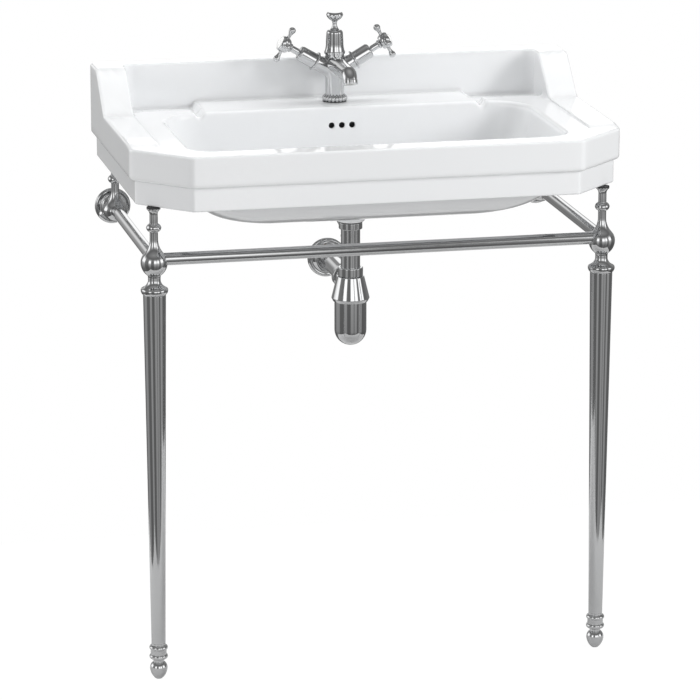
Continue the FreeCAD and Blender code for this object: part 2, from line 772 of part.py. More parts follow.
def make_rails():
    """Front rail, side rails, wall flanges, pads and grub screws."""
    bore = "rail_radius - rail_wall"
    ring("front_rail", bore, "rail_radius", "0", "2 * (%s - rail_seat)" % LEG_X, "rail_seat - %s" % LEG_X,
         LEG_Y, RAIL_Z, LYING_X)
    side_length = "(%s - %s - 2 * rail_seat)" % (REAR_Y, LEG_Y)
    wide, rim = "flange_radius", "flange_rim"
    flange = [
        ("0", "0"),
        (wide, "0"),
        (share(0.88, wide), rim, 0.45),
        (share(0.70, wide), share(0.80, rim), -0.2),
        (share(0.62, wide), share(0.95, rim), 0.2),
        ("flange_spigot_radius", "flange_dome", 0.12),
        ("flange_spigot_radius", "flange_dome + flange_spigot"),
        ("0", "flange_dome + flange_spigot"),
    ]
    for side, sign in (("left", "-"), ("right", "")):
        ring(side + "_side_rail", bore, "rail_radius", "0", side_length, sign + LEG_X,
             "%s + rail_seat" % LEG_Y, RAIL_Z, LYING_Y)
        body = turned(side + "_wall_flange", flange, sign + LEG_X, WALL, RAIL_Z, LYING_FORWARD)
        for step, angle in enumerate((90, 210, 330)):
            cylinder(body, "%s_flange_hole_%d" % (side, step), "flange_screw_radius",
                     "flange_dome + overrun", "flange_screw_circle * cos(%d)" % angle,
                     "flange_screw_circle * sin(%d)" % angle, "-overrun / 2")
    pad_low = "(%s - pad_thickness)" % BASIN_BOTTOM
    corners = [(sign + LEG_X, y, pad_low) for sign in ("-", "") for y in (LEG_Y, REAR_Y)]
    group("post_pads", ring("pad_master", "0", "post_foot_radius", "0", "pad_thickness"), corners)
    low = RAIL_Z + " - rail_radius - fit - grub_length"
    spots = []
    for sign, inward in (("-", "+"), ("", "-")):
        spots.append(("%s%s %s grub_offset" % (sign, LEG_X, inward), LEG_Y, low))
        spots.append((sign + LEG_X, "%s + grub_offset" % LEG_Y, low))
        spots.append((sign + LEG_X, "%s - grub_offset" % REAR_Y, low))
    group("rail_grub_screws", ring("grub_master", "0", "grub_radius", "0", "grub_length"), spots)


# Mixer tap

def arm_turn(sign):
    """Turn that leans the upright axis outwards along one arm of the tap."""
    return Rotation(Vector(0, 1, 0), sign * value("90 - arm_angle"))


def on_arm(sign, distance):
    """Place on an arm's axis, a distance out from the tap's axis."""
    return ("%d * (%s) * cos(arm_angle)" % (sign, distance), TAP_Y,
            "%s + (%s) * sin(arm_angle)" % (ARM_Z, distance))


def make_tap_body():
    """The body: a column with two arms, bored for valves, inlets, spout and lift rod."""
    body = new_body("tap_body")
    spin(body, "tap_column", [("0", "0"), ("column_radius", "0"), ("column_radius", "body_rise"),
                              ("0", "body_rise")])
    level = "(arm_level - gasket_thickness)"
    solid = None
    for name, sign in (("hot", -1), ("cold", 1)):
        turn = arm_turn(sign)
        cylinder(body, name + "_arm", "arm_radius", "arm_length", z=level, turn=turn, cut=False)
        out = "(arm_length - arm_collar_width)"
        solid = cylinder(body, name + "_arm_collar", "arm_collar_radius", "arm_collar_width",
                         "%d * %s * cos(arm_angle)" % (sign, out), "0",
                         "%s + %s * sin(arm_angle)" % (level, out), turn, cut=False)
    for name, sign in (("hot", -1), ("cold", 1)):
        turn = arm_turn(sign)
        for part, radius, start, reach in (("valve", "valve_radius + fit", "valve_start", "arm_length"),
                                           ("pilot", "pilot_radius", "pilot_start", "valve_start")):
            cylinder(body, "%s_%s_bore" % (name, part), radius, reach,
                     "%d * %s * cos(arm_angle)" % (sign, start), "0",
                     "%s + %s * sin(arm_angle)" % (level, start), turn)
        cylinder(body, name + "_inlet", "inlet_radius", "inlet_length", "%d * inlet_spread" % sign,
                 z="shank_spigot")
        cylinder(body, name + "_rise", "pilot_radius", level, "%d * inlet_spread" % sign, z="shank_spigot")
    cylinder(body, "shank_recess", "shank_radius - fit", "shank_spigot", z="0")
    cylinder(body, "rod_bore", "rod_radius + gap", "body_rise")
    outlet = "(spout_level - gasket_thickness)"
    cylinder(body, "spout_bore", "spout_bore_radius", "column_radius",
             y="-(column_radius + cross_bore_front)", z=outlet, turn=LYING_Y)
    cylinder(body, "cross_bore", "cross_bore_radius", "2 * valve_start", "-valve_start", "-cross_bore_front",
             outlet, LYING_X)
    seat(body, y=TAP_Y, z=BODY_BOTTOM)
    doc.recompute()
    outer = solid.Shape.copy()
    outer.Placement = body.Placement.multiply(outer.Placement)
    return outer


def spout_spine():
    """Centre line of the spout, a level run, a bend and a short tail, with its three stations."""
    level = value("deck_height + spout_level")
    bend = value("spout_bend_radius")
    turn = value("spout_bend_angle")
    knee = Vector(0, value("%s - spout_reach + spout_bend_radius * sin(spout_bend_angle)" % TAP_Y), level)
    root = Vector(0, value("%s - column_radius / 2" % TAP_Y), level)

    def round_bend(angle):
        arm = Rotation(Vector(1, 0, 0), angle).multVec(Vector(0, 0, bend))
        return knee + arm - Vector(0, 0, bend)

    tip = round_bend(turn)
    end = tip + Rotation(Vector(1, 0, 0), turn).multVec(Vector(0, -value("spout_tail"), 0))
    spine = Part.Wire([
        Part.makeLine(root, knee),
        Part.Arc(knee, round_bend(turn / 2), tip).toShape(),
        Part.makeLine(tip, end),
    ])
    return spine, ((root, 0), (knee, 0), (end, turn))


def spout_skin(spine, stations, radii):
    """Round sections carried along the spout's centre line."""
    shell = Part.BRepOffsetAPI.MakePipeShell(spine)
    shell.setBiNormalMode(Vector(1, 0, 0))
    for (place, angle), radius in zip(stations, radii):
        circle = Part.Wire([Part.makeCircle(radius)])
        circle.Placement = Placement(place, LYING_FORWARD.multiply(Rotation(Vector(1, 0, 0), angle)))
        shell.add(circle)
    shell.build()
    shell.makeSolid()
    return shell.shape()


def make_spout(outer):
    """The spout butts on the tap body; its bore ends in the seat of the aerator."""
    spine, stations = spout_spine()
    root, tip = value("spout_root_radius"), value("spout_tip_radius")
    bore = value("spout_bore_radius")
    end, angle = stations[-1]
    back = Rotation(Vector(1, 0, 0), angle).multVec(Vector(0, 1, 0))
    skin = spout_skin(spine, stations, (root, (root + tip) / 2, tip))
    hollow = spout_skin(spine, stations, (bore, bore, bore))
    seat_hole = Part.makeCylinder(value("aerator_radius + fit"), value("aerator_length"), end, back)
    spout = doc.addObject("Part::Feature", "spout")
    spout.Label = "spout"
    spout.Shape = max(skin.cut(outer).cut(hollow).cut(seat_hole).Solids, key=lambda solid: solid.Volume)
    pieces.append(spout)
    tip_y = "%s - spout_reach - spout_tail * cos(spout_bend_angle)" % TAP_Y
    tip_drop = "spout_bend_radius * (1 - cos(spout_bend_angle)) + spout_tail * sin(spout_bend_angle)"
    turned("aerator", [
        (share(0.5, "aerator_radius"), "0"),
        ("aerator_radius", "0"),
        ("aerator_radius", "aerator_length"),
        (share(0.8, "aerator_radius"), "aerator_length"),
        (share(0.8, "aerator_radius"), share(0.3, "aerator_length")),
        (share(0.5, "aerator_radius"), share(0.3, "aerator_length")),
    ], "0", tip_y, "deck_height + spout_level - (%s)" % tip_drop, Rotation(Vector(0, 0, 1), back))


def make_tap_fixings():
    """Gasket, base ring, shank, washer and nut that clamp the tap to the ledge."""
    low = "(deck_height - deck_thickness)"
    ring("tap_gasket", "shank_radius + gap", share(0.93, "base_ring_radius"), "deck_height", BODY_BOTTOM,
         y=TAP_Y)
    high = "base_ring_height"
    turned("tap_base_ring", [
        ("column_radius + fit", "0"),
        (share(0.93, "base_ring_radius"), "0"),
        ("base_ring_radius", share(0.35, high), 0.2),
        (share(0.93, "base_ring_radius"), share(0.68, high), 0.2),
        ("column_radius + fit", high, -0.2),
    ], y=TAP_Y, z=BODY_BOTTOM)
    spigot = "%s + shank_spigot" % BODY_BOTTOM
    turned("tap_shank", [
        ("shank_bore_radius", "%s - shank_length" % spigot),
        ("shank_radius", "%s - shank_length" % spigot),
        ("shank_radius", "deck_height"),
        ("shank_radius - 2 * fit", "deck_height"),
        ("shank_radius - 2 * fit", spigot),
        ("shank_bore_radius", spigot),
    ], y=TAP_Y)
    under = "%s - shank_washer_height" % low
    ring("shank_washer", "shank_radius + fit", "shank_washer_radius", under, low, y=TAP_Y)
    nut = new_body("shank_nut")
    corners = [("shank_nut_radius * cos(%d)" % angle, "shank_nut_radius * sin(%d)" % angle)
               for angle in (30, 90, 150, 210, 270, 330)]
    corners[1] = ("0", "shank_nut_radius")
    corners[4] = ("0", "-shank_nut_radius")
    pad(nut, "shank_nut_pad", outline(nut, "shank_nut_plan", "XY_Plane", corners), "shank_nut_height")
    cylinder(nut, "shank_nut_bore", "shank_radius + fit", "shank_nut_height + overrun", z="-overrun / 2")
    seat(nut, y=TAP_Y, z="%s - shank_nut_height" % under)


def make_valves():
    """Bonnet, valve, spindle, cross handle and index button of each arm."""
    bonnet_end = "(arm_length + bonnet_length)"
    valve_end = "(valve_start + valve_length)"
    hub = "(handle_reach - hub_length / 2)"
    hub_end = "(handle_reach + hub_length / 2)"
    stem = "(%s + handle_gap)" % bonnet_end
    round_in = "bonnet_radius - bonnet_round"
    for name, sign in (("hot", -1), ("cold", 1)):
        place = on_arm(sign, "0") + (arm_turn(sign),)
        turned(name + "_bonnet", [
            ("valve_radius + fit", "arm_length"),
            ("bonnet_radius", "arm_length"),
            ("bonnet_radius", "%s - bonnet_round" % bonnet_end),
            (round_in, bonnet_end, QUARTER_ARC_SHARE),
            ("spindle_radius + gap", bonnet_end),
            ("spindle_radius + gap", "%s - bonnet_end" % bonnet_end),
            ("valve_radius + fit", "%s - bonnet_end" % bonnet_end),
        ], *place)
        turned(name + "_valve", [
            ("pilot_radius", "valve_start"),
            ("valve_radius", "valve_start"),
            ("valve_radius", valve_end),
            ("spindle_radius + fit", valve_end),
            ("spindle_radius + fit", "%s - spindle_overlap" % valve_end),
            ("pilot_radius", "%s - spindle_overlap" % valve_end),
        ], *place)
        ring(name + "_spindle", "0", "spindle_radius", "%s - spindle_overlap + gap" % valve_end,
             "handle_reach - index_seat", *place)
        body = turned(name + "_handle", [
            ("0", stem),
            ("stem_radius", stem),
            ("stem_radius", "%s - stem_radius" % hub),
            ("knuckle_radius", "%s - stem_radius / 2" % hub, 0.3),
            ("stem_radius", hub, 0.3),
            (share(0.75, "hub_radius"), hub),
            ("hub_radius", "handle_reach", 0.25),
            ("index_radius", hub_end, 0.2),
            ("0", hub_end),
        ], *place)
        cylinder(body, name + "_spindle_socket", "spindle_radius + fit",
                 "handle_reach - index_seat - %s" % stem, z=stem)
        cylinder(body, name + "_index_seat", "index_radius - index_seat + fit", "overrun",
                 z="%s - index_seat" % hub_end)
        make_spokes(body, name)
        seat_radius = "index_radius - index_seat"
        turned(name + "_index", [
            ("0", "%s - index_seat" % hub_end),
            (seat_radius, "%s - index_seat" % hub_end),
            (seat_radius, hub_end),
            ("pole_flat", "%s + index_height - index_seat" % hub_end, 0.2),
            ("0", "%s + index_height - index_seat" % hub_end),
        ], *place)


def make_spokes(body, name):
    """Four spokes that widen to a ball, square to the handle's axis."""
    for step, angle in enumerate((0, 90, 180, 270)):
        turn = Rotation(Vector(0, 0, 1), angle).multiply(LYING_X)
        out = ("(hub_radius - index_seat) * cos(%d)" % angle, "(hub_radius - index_seat) * sin(%d)" % angle)
        feature(body, "AdditiveCone", "%s_spoke_%d" % (name, step),
                {"Radius1": "spoke_radius", "Radius2": share(0.86, "spoke_ball_radius"),
                 "Height": "spoke_reach - hub_radius + index_seat"},
                out[0], out[1], "handle_reach", turn)
        feature(body, "AdditiveSphere", "%s_spoke_ball_%d" % (name, step), {"Radius": "spoke_ball_radius"},
                "spoke_reach * cos(%d)" % angle, "spoke_reach * sin(%d)" % angle, "handle_reach")


def make_lift():
    """Bell cover, bush, knob, rod, strap, clamp and screw of the pop-up lift."""
    wide, high = "bell_radius", "bell_height"
    inner = "bell_radius * 0.84 - bell_wall"
    turned("top_bonnet", [
        (share(0.80, wide), "0"),
        (wide, "0"),
        (wide, share(0.08, high)),
        (share(0.95, wide), share(0.12, high), 0.3),
        (share(0.84, wide), share(0.50, high), -0.08),
        (share(0.79, wide), share(0.86, high)),
        (share(0.55, wide), high, 0.35),
        ("bush_radius + fit", high),
        ("bush_radius + fit", share(0.80, high)),
        (inner, share(0.80, high)),
        (inner, share(0.12, high)),
        (share(0.80, wide), share(0.06, high)),
    ], y=TAP_Y, z=BODY_TOP)
    ring("rod_bush", "rod_radius + fit", "bush_radius", "%s - bush_height" % BELL_TOP, BELL_TOP, y=TAP_Y)
    knob_low = "(%s + gap)" % BELL_TOP
    wide, high = "knob_radius", "knob_height"
    body = turned("lift_knob", [
        ("0", "0"),
        (share(0.58, wide), "0"),
        (share(0.36, wide), share(0.14, high), -0.2),
        (share(0.25, wide), share(0.34, high), -0.1),
        (share(0.40, wide), share(0.52, high), -0.15),
        (wide, share(0.84, high), 0.22),
        (share(0.82, wide), high, 0.15),
        ("0", high),
    ], y=TAP_Y, z=knob_low)
    cylinder(body, "knob_rod_hole", "rod_radius", share(0.2, high))
    rod_top = "(%s + knob_height * 0.2)" % knob_low
    ring("lift_rod", "0", "rod_radius", "%s - rod_length" % rod_top, rod_top, y=TAP_Y)
    make_strap("(%s - rod_length)" % rod_top)


def make_strap(rod_end):
    """Flat strap behind the rod's lower end, its clamp and the clamp's screw."""
    strap = new_body("lift_strap")
    rest = "(port_angle - pivot_swing)"
    eye = "(%s + (%s - %s) * tan(%s))" % (PIVOT_Z, STRAP_Y, PIVOT_Y, rest)
    low = "(%s - strap_tail)" % eye
    front = "(%s - strap_thickness / 2)" % STRAP_Y
    box(strap, "strap_bar", ("-strap_width / 2", front, low),
        ("strap_width", "strap_thickness", "strap_length"), cut=False)
    cylinder(strap, "strap_eye", "strap_eye_radius", "strap_thickness + 2 * overrun", "0",
             "%s - overrun" % front, eye, LYING_Y)
    clamp = new_body("strap_clamp")
    clamp_low = "(%s + gap)" % rod_end
    box(clamp, "clamp_block", ("-strap_width / 2", "%s - clamp_depth" % front, clamp_low),
        ("strap_width", "clamp_depth", "clamp_height"), cut=False)
    cylinder(clamp, "clamp_rod_hole", "rod_radius + fit", "clamp_height + overrun", y=TAP_Y,
             z="%s - overrun / 2" % clamp_low)
    screw_z = "(%s + clamp_height / 2)" % clamp_low
    face = "(%s - clamp_depth)" % front
    cylinder(clamp, "clamp_screw_hole", "screw_radius + fit", "%s - rod_radius - %s" % (TAP_Y, face), "0",
             face, screw_z, LYING_Y)
    turned("strap_screw", [
        ("0", "-(%s - rod_radius - fit - %s)" % (TAP_Y, face)),
        ("screw_radius", "-(%s - rod_radius - fit - %s)" % (TAP_Y, face)),
        ("screw_radius", "0"),
        ("screw_head_radius", "0"),
        ("screw_head_radius", "screw_head_length"),
        ("0", "screw_head_length"),
    ], "0", face, screw_z, LYING_FORWARD)


# Pop-up waste

def make_waste():
    """Waste body with its inclined pivot port, seals, back nut and tail pipe."""
    body = new_body("waste_body")
    top = "0"
    spin(body, "waste_outside", [
        ("0", "-waste_length"),
        ("tail_radius", "-waste_length"),
        ("tail_radius", "-waste_hub_height"),
        ("waste_hub_radius", "-waste_hub_height"),
        ("waste_hub_radius", "-waste_flange_height"),
        ("waste_flange_radius", "-waste_flange_height"),
        (share(0.94, "waste_flange_radius"), top, 0.15),
        ("0", top),
    ])
    port = leaning(value("port_angle"))
    root_y = "pivot_setback - pivot_setback * cos(port_angle)"
    root_z = "-pivot_drop - pivot_setback * sin(port_angle)"
    cylinder(body, "port_boss", "port_radius", "pivot_setback + port_length", "0", root_y, root_z, port,
             cut=False)
    spin(body, "waste_inside", [
        ("0", "-(waste_length + overrun)"),
        ("tail_bore_radius", "-(waste_length + overrun)"),
        ("tail_bore_radius", "-throat_depth"),
        ("throat_radius", "-throat_lip"),
        ("throat_radius", "overrun"),
        ("0", "overrun"),
    ], cut=True)
    seat_back = "(pivot_ball_radius - gap)"
    cylinder(body, "port_socket", "pivot_ball_radius + fit", "pivot_ball_radius * 2 + overrun", "0",
             "pivot_setback - %s * cos(port_angle)" % seat_back,
             "-pivot_drop - %s * sin(port_angle)" % seat_back, port)
    cylinder(body, "port_hole", "port_clear_radius", "pivot_setback", "0", root_y, root_z, port)
    slot_low = "-(bowl_wall + sump_height)"
    box(body, "overflow_slots", ("-slot_width / 2", "-(tail_radius + overrun)", slot_low),
        ("slot_width", "2 * (tail_radius + overrun)", "slot_height"))
    seat(body, y=WASTE_Y, z=FLANGE_TOP)
    seal_low = "(%s - waste_flange_height - seal_thickness)" % BOWL_FLOOR
    upper = ring("seal_master", "waste_hub_radius + gap", "waste_flange_radius", "0", "seal_thickness",
                 y=WASTE_Y)
    lower = ring("washer_master", "tail_radius + gap", "nut_radius", "0", "washer_thickness", y=WASTE_Y)
    pieces.remove(lower)
    doc.recompute()
    group("waste_seals", upper, [("0", "0", seal_low)])
    washer = lower.Shape.copy()
    washer.translate(Vector(0, 0, value("%s - washer_thickness" % BOSS_BOTTOM)))
    pieces[-1].Shape = Part.makeCompound(pieces[-1].Shape.Solids + washer.Solids)
    nut_top = "(%s - washer_thickness)" % BOSS_BOTTOM
    ring("waste_back_nut", "tail_radius + fit", "nut_radius", "%s - nut_height" % nut_top, nut_top,
         y=WASTE_Y)
    spigot = "%s + tail_bore_radius" % WASTE_END
    inside = "tail_bore_radius - rail_wall"
    turned("tail_pipe", [
        (inside, TAIL_END),
        ("tail_radius", TAIL_END),
        ("tail_radius", WASTE_END),
        ("tail_bore_radius - fit", WASTE_END),
        ("tail_bore_radius - fit", spigot),
        (inside, spigot),
    ], y=WASTE_Y)


def make_pivot():
    """Pivot rod with its ball, and the nut that holds the ball in the port."""
    rest = value("port_angle - pivot_swing")
    ball_step = "sqrt(pivot_ball_radius^2 - rod_radius^2)"
    bulge = "(pivot_ball_radius - rod_radius) / (%s)" % ball_step
    turned("pivot_rod", [
        ("0", "-pivot_front"),
        ("rod_radius", "-pivot_front"),
        ("rod_radius", "-" + ball_step),
        ("rod_radius", ball_step, value(bulge)),
        ("rod_radius", "pivot_rear"),
        ("0", "pivot_rear"),
    ], "0", PIVOT_Y, PIVOT_Z, leaning(rest))
    inner_end = "(port_length + gap)"
    turned("pivot_nut", [
        ("port_radius + fit", "-pivot_ball_radius / 2"),
        ("pivot_nut_radius", "-pivot_ball_radius / 2"),
        ("pivot_nut_radius", "%s + pivot_nut_wall" % inner_end),
        ("pivot_nut_bore_radius", "%s + pivot_nut_wall" % inner_end),
        ("pivot_nut_bore_radius", inner_end),
        ("port_radius + fit", inner_end),
    ], "0", PIVOT_Y, PIVOT_Z, leaning(value("port_angle")))


def make_plug():
    """Domed plug with a blade whose eye rides on the pivot rod, and its rubber seal."""
    rest = "(port_angle - pivot_swing)"
    body = new_body("waste_plug")
    rim = "(plug_lift - plug_rim)"
    spin(body, "plug_dome_turn", [
        ("0", rim),
        ("plug_radius", rim),
        ("plug_radius", "plug_lift"),
        ("pole_flat", "plug_lift + plug_dome", 0.12),
        ("0", "plug_lift + plug_dome"),
    ])
    blade_y = "(blade_offset)"
    eye_reach = "(pivot_setback - blade_offset - blade_thickness / 2)"
    eye = "(-pivot_drop - %s * tan(%s))" % (eye_reach, rest)
    low = "(%s - blade_tail)" % eye
    box(body, "plug_blade", ("-blade_width / 2", blade_y, low),
        ("blade_width", "blade_thickness", "%s - %s" % (rim, low)), cut=False)
    cylinder(body, "plug_eye", "eye_radius", "blade_thickness + 2 * overrun", "0", "-overrun", eye, LYING_Y)
    seat(body, y=WASTE_Y, z=FLANGE_TOP)
    seal = "%s + %s" % (FLANGE_TOP, rim)
    ring("plug_seal", "blade_width", "plug_seal_radius", "%s - plug_seal_height" % seal, seal, y=WASTE_Y)


# Bottle trap

def make_trap():
    """Inlet nut and seal, cone body with its outlet, cup, outlet pipe and wall rose."""
    pipe = "tail_radius + fit"
    seal_low = "(%s - inlet_seal_height - rail_wall)" % TRAP_TOP
    turned("trap_inlet_nut", [
        ("trap_neck_radius + fit", TRAP_NECK_BOTTOM),
        ("inlet_nut_radius", TRAP_NECK_BOTTOM),
        ("inlet_nut_radius", TRAP_TOP + " - rail_wall"),
        ("inlet_nut_radius - rail_wall", TRAP_TOP, QUARTER_ARC_SHARE),
        (pipe, TRAP_TOP),
        (pipe, TRAP_TOP + " - rail_wall"),
        ("trap_neck_radius + fit", TRAP_TOP + " - rail_wall"),
    ], y=WASTE_Y)
    ring("trap_inlet_seal", pipe, "trap_neck_radius", seal_low, TRAP_TOP + " - rail_wall", y=WASTE_Y)
    body = new_body("trap_body")
    lip = "(%s - cone_lip)" % CONE_BOTTOM
    spin(body, "trap_outside", [
        ("0", lip),
        ("cone_bottom_radius - cone_lip / 2", lip),
        ("cone_bottom_radius", CONE_BOTTOM),
        ("cone_top_radius", TRAP_NECK_BOTTOM),
        ("trap_neck_radius", TRAP_NECK_BOTTOM),
        ("trap_neck_radius", seal_low),
        ("0", seal_low),
    ])
    cylinder(body, "outlet_boss", "outlet_boss_radius", "outlet_boss_reach", z=OUTLET_Z, turn=LYING_Y,
             cut=False)
    shoulder = "(%s + cup_seal_height)" % CUP_TOP
    spin(body, "trap_inside", [
        ("0", "%s - overrun" % lip),
        ("cup_radius + fit", "%s - overrun" % lip),
        ("cup_radius + fit", shoulder),
        ("cup_radius - cup_wall - trap_wall", shoulder),
        ("cone_top_radius - trap_wall", "%s - trap_wall" % TRAP_NECK_BOTTOM),
        (pipe, "%s - trap_wall" % TRAP_NECK_BOTTOM),
        (pipe, TRAP_TOP + " + overrun"),
        ("0", TRAP_TOP + " + overrun"),
    ], cut=True)
    spin(body, "inlet_nut_room", [
        ("trap_neck_radius", TRAP_NECK_BOTTOM),
        ("inlet_nut_radius + gap", TRAP_NECK_BOTTOM),
        ("inlet_nut_radius + gap", TRAP_TOP),
        (pipe, TRAP_TOP),
        (pipe, seal_low),
        ("trap_neck_radius", seal_low),
    ], cut=True)
    cylinder(body, "outlet_bore", "outlet_bore_radius", "outlet_boss_reach + overrun - tail_radius",
             y="tail_radius + outlet_wall", z=OUTLET_Z, turn=LYING_Y)
    mouth = "(outlet_boss_reach - outlet_seat)"
    cylinder(body, "outlet_mouth", "outlet_radius + fit", "outlet_seat + overrun", y=mouth, z=OUTLET_Z,
             turn=LYING_Y)
    seat(body, y=WASTE_Y)
    ring("cup_seal", "cup_radius - cup_wall", "cup_radius", CUP_TOP, shoulder, y=WASTE_Y)
    dome = "(%s + cup_radius)" % CUP_END
    inner = "(cup_radius - cup_wall)"
    turned("trap_cup", [
        ("0", CUP_END),
        ("pole_flat", CUP_END),
        ("cup_radius", dome, QUARTER_ARC_SHARE),
        ("cup_radius", CUP_TOP),
        (inner, CUP_TOP),
        (inner, dome),
        ("pole_flat", CUP_END + " + cup_wall", -QUARTER_ARC_SHARE),
        ("0", CUP_END + " + cup_wall"),
    ], y=WASTE_Y)
    make_outlet(mouth)


def make_outlet(mouth):
    """Outlet nut, pipe to the wall and the rose that covers the hole in the wall."""
    start = "(%s + %s)" % (WASTE_Y, mouth)
    nut_end = "(outlet_boss_reach + rail_wall)"
    ring("outlet_pipe", "outlet_radius - outlet_wall", "outlet_radius", "0", "%s - %s" % (WALL, start), "0",
         start, OUTLET_Z, LYING_Y)
    turned("outlet_nut", [
        ("outlet_boss_radius + fit", "%s - outlet_nut_length" % nut_end),
        ("outlet_nut_radius", "%s - outlet_nut_length" % nut_end),
        ("outlet_nut_radius", nut_end),
        ("outlet_radius + fit", nut_end),
        ("outlet_radius + fit", "outlet_boss_reach"),
        ("outlet_boss_radius + fit", "outlet_boss_reach"),
    ], "0", WASTE_Y, OUTLET_Z, LYING_Y)
    wide, rim, high = "waste_rose_radius", "waste_rose_rim", "waste_rose_height"
    bore = "outlet_radius + fit"
    turned("waste_rose", [
        (bore, "0"),
        (wide, "0"),
        (share(0.90, wide), rim, 0.45),
        (share(0.76, wide), share(0.85, rim), -0.2),
        (share(0.58, wide), high, -0.15),
        (bore, high),
    ], "0", WALL, OUTLET_Z, LYING_FORWARD)


def check_and_write():
    """Stop at any failed object or broken shape, then write one file for each piece."""
    doc.recompute()
    for item in doc.Objects:
        if {"Invalid", "Error"} & set(item.State):
            raise RuntimeError("failed: %s %s" % (item.Label, item.State))
    os.makedirs("parts", exist_ok=True)
    for item in pieces:
        shape = item.Shape
        if shape.isNull() or not shape.isValid() or not shape.Solids:
            raise RuntimeError("no sound solid: " + item.Label)
        shape.exportStep(os.path.join("parts", item.Label + ".step"))
        print("%-22s solids %d volume %.0f" % (item.Label, len(shape.Solids), shape.Volume))
    print("pieces", len(pieces))


make_basin()
make_castings()
make_legs()
make_rails()
make_spout(make_tap_body())
make_tap_fixings()
make_valves()
make_lift()
make_waste()
make_pivot()
make_plug()
make_trap()
check_and_write()
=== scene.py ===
"""Console washbasin on a chrome washstand: its finished surfaces, materials, stage and camera."""

import math

import bmesh
import bpy
import numpy as np
from bpy.props import FloatProperty, FloatVectorProperty, IntProperty, PointerProperty
from bpy.types import Operator, Panel, PropertyGroup
from mathutils import Matrix, Vector


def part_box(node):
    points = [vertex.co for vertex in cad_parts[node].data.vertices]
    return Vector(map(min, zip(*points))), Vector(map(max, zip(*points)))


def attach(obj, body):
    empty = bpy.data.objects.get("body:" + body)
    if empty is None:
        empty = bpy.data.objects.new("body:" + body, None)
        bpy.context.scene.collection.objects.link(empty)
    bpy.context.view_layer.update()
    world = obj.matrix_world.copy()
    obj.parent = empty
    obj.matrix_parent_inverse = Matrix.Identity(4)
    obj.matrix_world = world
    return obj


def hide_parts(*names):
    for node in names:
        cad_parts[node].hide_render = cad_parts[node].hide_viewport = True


bl_info = {
    "name": "Console washbasin",
    "version": (1, 0, 0),
    "blender": (4, 5, 0),
    "location": "View3D > Sidebar > Washbasin",
    "description": "Dresses a console washbasin, its stand, tap and waste",
    "category": "Object",
}

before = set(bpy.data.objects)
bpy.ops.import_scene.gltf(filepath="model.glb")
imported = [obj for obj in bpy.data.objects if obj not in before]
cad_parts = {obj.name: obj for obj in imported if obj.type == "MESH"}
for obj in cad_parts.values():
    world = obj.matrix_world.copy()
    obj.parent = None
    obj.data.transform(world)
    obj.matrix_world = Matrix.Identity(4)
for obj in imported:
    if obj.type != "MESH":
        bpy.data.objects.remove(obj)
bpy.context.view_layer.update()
ROOT = "washbasin"
UP = (0.0, 0.0, 1.0)
ALONG_X, ALONG_Y, TO_FRONT = (1, 0, 0), (0, 1, 0), (0, -1, 0)
PLATE = "chrome_plate"

# Points nearer than this become one, and edges that turn by more than this stay crisp
MERGE = 1e-6
SHARP = math.radians(55.0)

# Least divisors, so that no quotient runs away
TINY, SMALL = 1e-12, 1e-6

# Bulge of a quarter circle, and the tangent that tells where a rounded corner of 45 degrees begins
QUARTER_ARC = 0.41421356
CANT_TANGENT = math.tan(math.radians(22.5))

# A quarter turn in steps: what is left of the first direction, and what is gained in the second
QUARTER = [(1 - math.sin(turn), 1 - math.cos(turn)) for turn in np.linspace(0.0, math.pi / 2, 6)]

# Rows that would meet in one line stand this far apart
HAIR = 1e-5

# Steps of an arc and of a rounding, and the least turn that is rounded
ARC_STEPS, ROUND_STEPS, ROUND_FROM = 10, 4, math.radians(20)

# A rounding takes at most this share of a side, and a point is held this far out on either side of it
ROUND_SHARE, ROUND_HOLD = 0.38, 1.3

# Lobes rise as this power of a sine
LOBE_POWER = 0.8

# Samples along the eight stretches of a plan loop, from the right side round by the back
LOOP_COUNTS = (52, 36, 140, 36, 52, 30, 92, 30)

# Basin: eased widths of trays and notches, and run of a kerb's rise
TRAY_EASE, NOTCH_EASE, KERB_RUN = 0.004, 0.003, 0.03

# Basin: samples along a cheek, and how many ease a turn on either side
CHEEK_SAMPLES, CHEEK_EASE = 1881, 18

# Basin: rounding at the wall, and least roundings of cants and cheeks
BACK_CORNER, LEAST_CANT_ROUND, LEAST_CORNER = 0.0005, 0.004, 0.001

# Basin: share of the edge rounding that the bottom has
BOTTOM_SHARE = 0.75

# Basin: fall of the rim, depth and dip of the waste's seat, lip and flare of the boss
RIM_FALL, SEAT_DEPTH, SEAT_DIP, BOSS_LIP, BOSS_FLARE = 0.02, 0.0045, 0.0006, 0.001, 0.0035

# Underside: its start beside the bowl, room below the deck, and easing at its top and bottom
RIM_SHARE, RIM_GROW, CEILING_GAP, CEILING_EASE, BASE_EASE = 0.01, 0.001, 0.006, 0.004, 0.002

# Blocks for the posts, from the side and from the front or back
FRONT_BLOCK, REAR_BLOCK = (0.092, 0.096), (0.056, 0.064)

# Overflow: reach of a hole's cleared faces, rows that keep the glaze before the deeper rows get a dark
# painted shade, and shares of its radius and depth
HOLE_REACH, HOLE_LIT_ROWS = 1.35, 3
HOLE_RINGS = ((1.30, 0.0), (1.12, 0.02), (1.03, 0.08), (1.0, 0.2), (1.0, 0.9), (0.0, 0.9))

# Overflow's sump: half of its width, and its foot and top below the bowl's floor
SUMP_HALF_WIDTH, SUMP_FOOT, SUMP_TOP = 0.017, 0.026, 0.006

# Blocks of the overflow duct: easing of their edges, and points round them
BLOCK_EASE, BLOCK_SIDES = 0.004, 64

